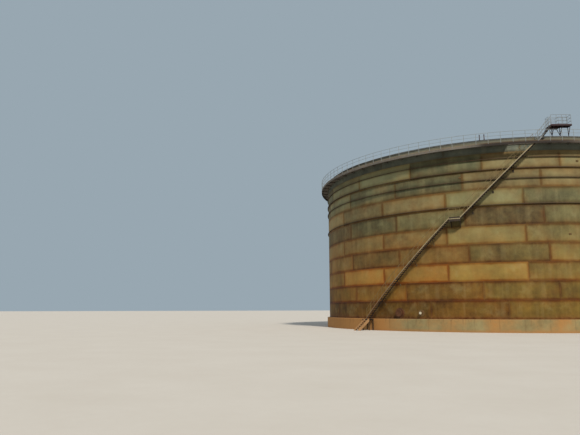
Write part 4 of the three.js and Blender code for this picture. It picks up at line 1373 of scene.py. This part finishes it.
def roof_seal():
    """The rim seal: an arched fabric over the gap between the pontoon and the shell."""
    shape = Shape()
    inner, outer = PONTOON_OUT + GAP, SHELL_IN - GAP
    width = outer - inner
    arch = [(inner + width * k / 6, SEAL_TOP - 0.05 + 0.05 * math.sin(math.pi * k / 6))
            for k in range(7)]
    foot = SEAL_TOP - SEAL_DEPTH
    shape.sweep([(inner, foot), (outer, foot), *reversed(arch)], full_turn(), True)
    finish_piece("roof_rim_seal_fabric", shape, ["seal"], "rim_seal", "roof_rim_seal")


def roof_deck():
    """The deck with its lap welds, and the legs in their sleeves with their pins."""
    shape = Shape()
    radius = PONTOON_IN - GAP
    under = ROOF_DECK - ROOF_DECK_PLATE
    shape.prism([at(a, radius, under) for a in full_turn(2)], UP * ROOF_DECK_PLATE * SCALE)
    shape.look = 1
    rows = int(radius / SHEET_WIDTH)
    for row in range(-rows, rows + 1):
        y = row * SHEET_WIDTH
        half = math.sqrt(radius ** 2 - y ** 2) - 0.1
        corners = ((-half, y - 0.02), (half, y - 0.02), (half, y + 0.02), (-half, y + 0.02))
        weld = [Vector((*corner, ROOF_DECK - GROUND)) * SCALE for corner in corners]
        shape.prism(weld, UP * 0.006 * SCALE)
    for azimuth, out in [(0, 0)] + [(60 * k, ROOF_LEG_CIRCLE) for k in range(6)]:
        foot, top, low, high = (at(azimuth, out, h) for h in (
            SHELL_FOOT, ROOF_LEG_TOP, under - 0.15, ROOF_DECK + 0.45))
        shape.pipe([foot, top], ROOF_LEG - 0.006, 16)
        shape.pipe([low, high], ROOF_LEG + 0.01, 16)
        shape.pipe([high + Vector((x, 0, -0.05)) * SCALE for x in (-0.13, 0.13)], 0.012)
    finish_piece("roof_deck_plates", shape, ["roof", "sleeve"], "roof_steel", "roof_deck")


# Floor, light and camera


def stage():
    mesh = bpy.data.meshes.new("floor")
    far = 900.0
    mesh.from_pydata([(-far, -far, 0), (far, -far, 0), (far, far, 0), (-far, far, 0)], [],
                     [(0, 1, 2, 3)])
    floor = linked("floor", mesh)
    mesh.materials.append(plain_look("pale_floor", (160, 154, 146), (166, 161, 154), 0.95, 0.3))


SUN_AZIMUTH, SUN_ELEVATION = 16.7, 45.6


def lamp(name, azimuth, elevation, energy, spread, colour):
    data = bpy.data.lights.new(name, "SUN")
    data.energy = energy
    data.angle = math.radians(spread)
    data.color = colour
    sun = linked(name, data)
    sun.rotation_euler = (math.radians(90 - elevation), 0, math.radians(azimuth))


def light():
    """A soft sun from the front right, a weak wide fill from the left, and a pale sky."""
    lamp("sun", SUN_AZIMUTH, SUN_ELEVATION, 5.0, 6, (1.0, 0.93, 0.82))
    lamp("fill", -85, 45, 1.1, 60, (0.95, 0.96, 1.0))
    world = bpy.data.worlds.new("pale_sky")
    world.use_nodes = True
    sky = world.node_tree.nodes["Background"]
    sky.inputs["Color"].default_value = srgb(152, 167, 177)
    sky.inputs["Strength"].default_value = 1.0
    bpy.context.scene.world = world
    bpy.context.scene.view_settings.view_transform = "Standard"


# The camera's place in the model's metres, its tilt in degrees and its lens in millimetres
CAMERA_PLACE = (-14.38, -39.92, 1.1975)
CAMERA_PITCH, CAMERA_ROLL = 9.53, -0.15
CAMERA_LENS, CAMERA_SENSOR = 34.138, 36


def camera():
    data = bpy.data.cameras.new("camera")
    data.lens = CAMERA_LENS
    data.sensor_width = CAMERA_SENSOR
    data.clip_end = 2000
    eye = linked("camera", data)
    eye.location = CAMERA_PLACE
    eye.rotation_mode = "ZXY"
    eye.rotation_euler = (math.radians(90 + CAMERA_PITCH), 0, math.radians(CAMERA_ROLL))
    bpy.context.scene.camera = eye


camera()
light()
stage()
foundation()
for number in range(SEGMENTS):
    shell_segment(number)
shell_welds()
for number, ring_top in enumerate(RING_TOPS, 1):
    stiffening_ring(number, ring_top)
curb_angle()
for number in range(len(SECTOR_EDGES) - 1):
    wind_girder(number)
    walkway_railing(number)
stair_flight("stair_lower_flight", LOWER_FLIGHT, STRINGER_START, (GAP, FOOT_DECK + GAP), 2)
stair_flight("stair_upper_flight", UPPER_FLIGHT, UPPER_FLIGHT[0], (GROUND, GROUND), 1)
stair_landing()
stair_handrail()
stair_foot()
platform_deck()
platform_frame()
platform_railing()
platform_stair()
flanged_neck("manhole_neck", MANHOLE, MANHOLE_PAD, "fitting")
flanged_neck("nozzle_neck", NOZZLE, NOZZLE_PAD, "neck")
manhole_cover()
nozzle_cover()
shell_lugs()
roof_pontoon()
roof_seal()
roof_deck()
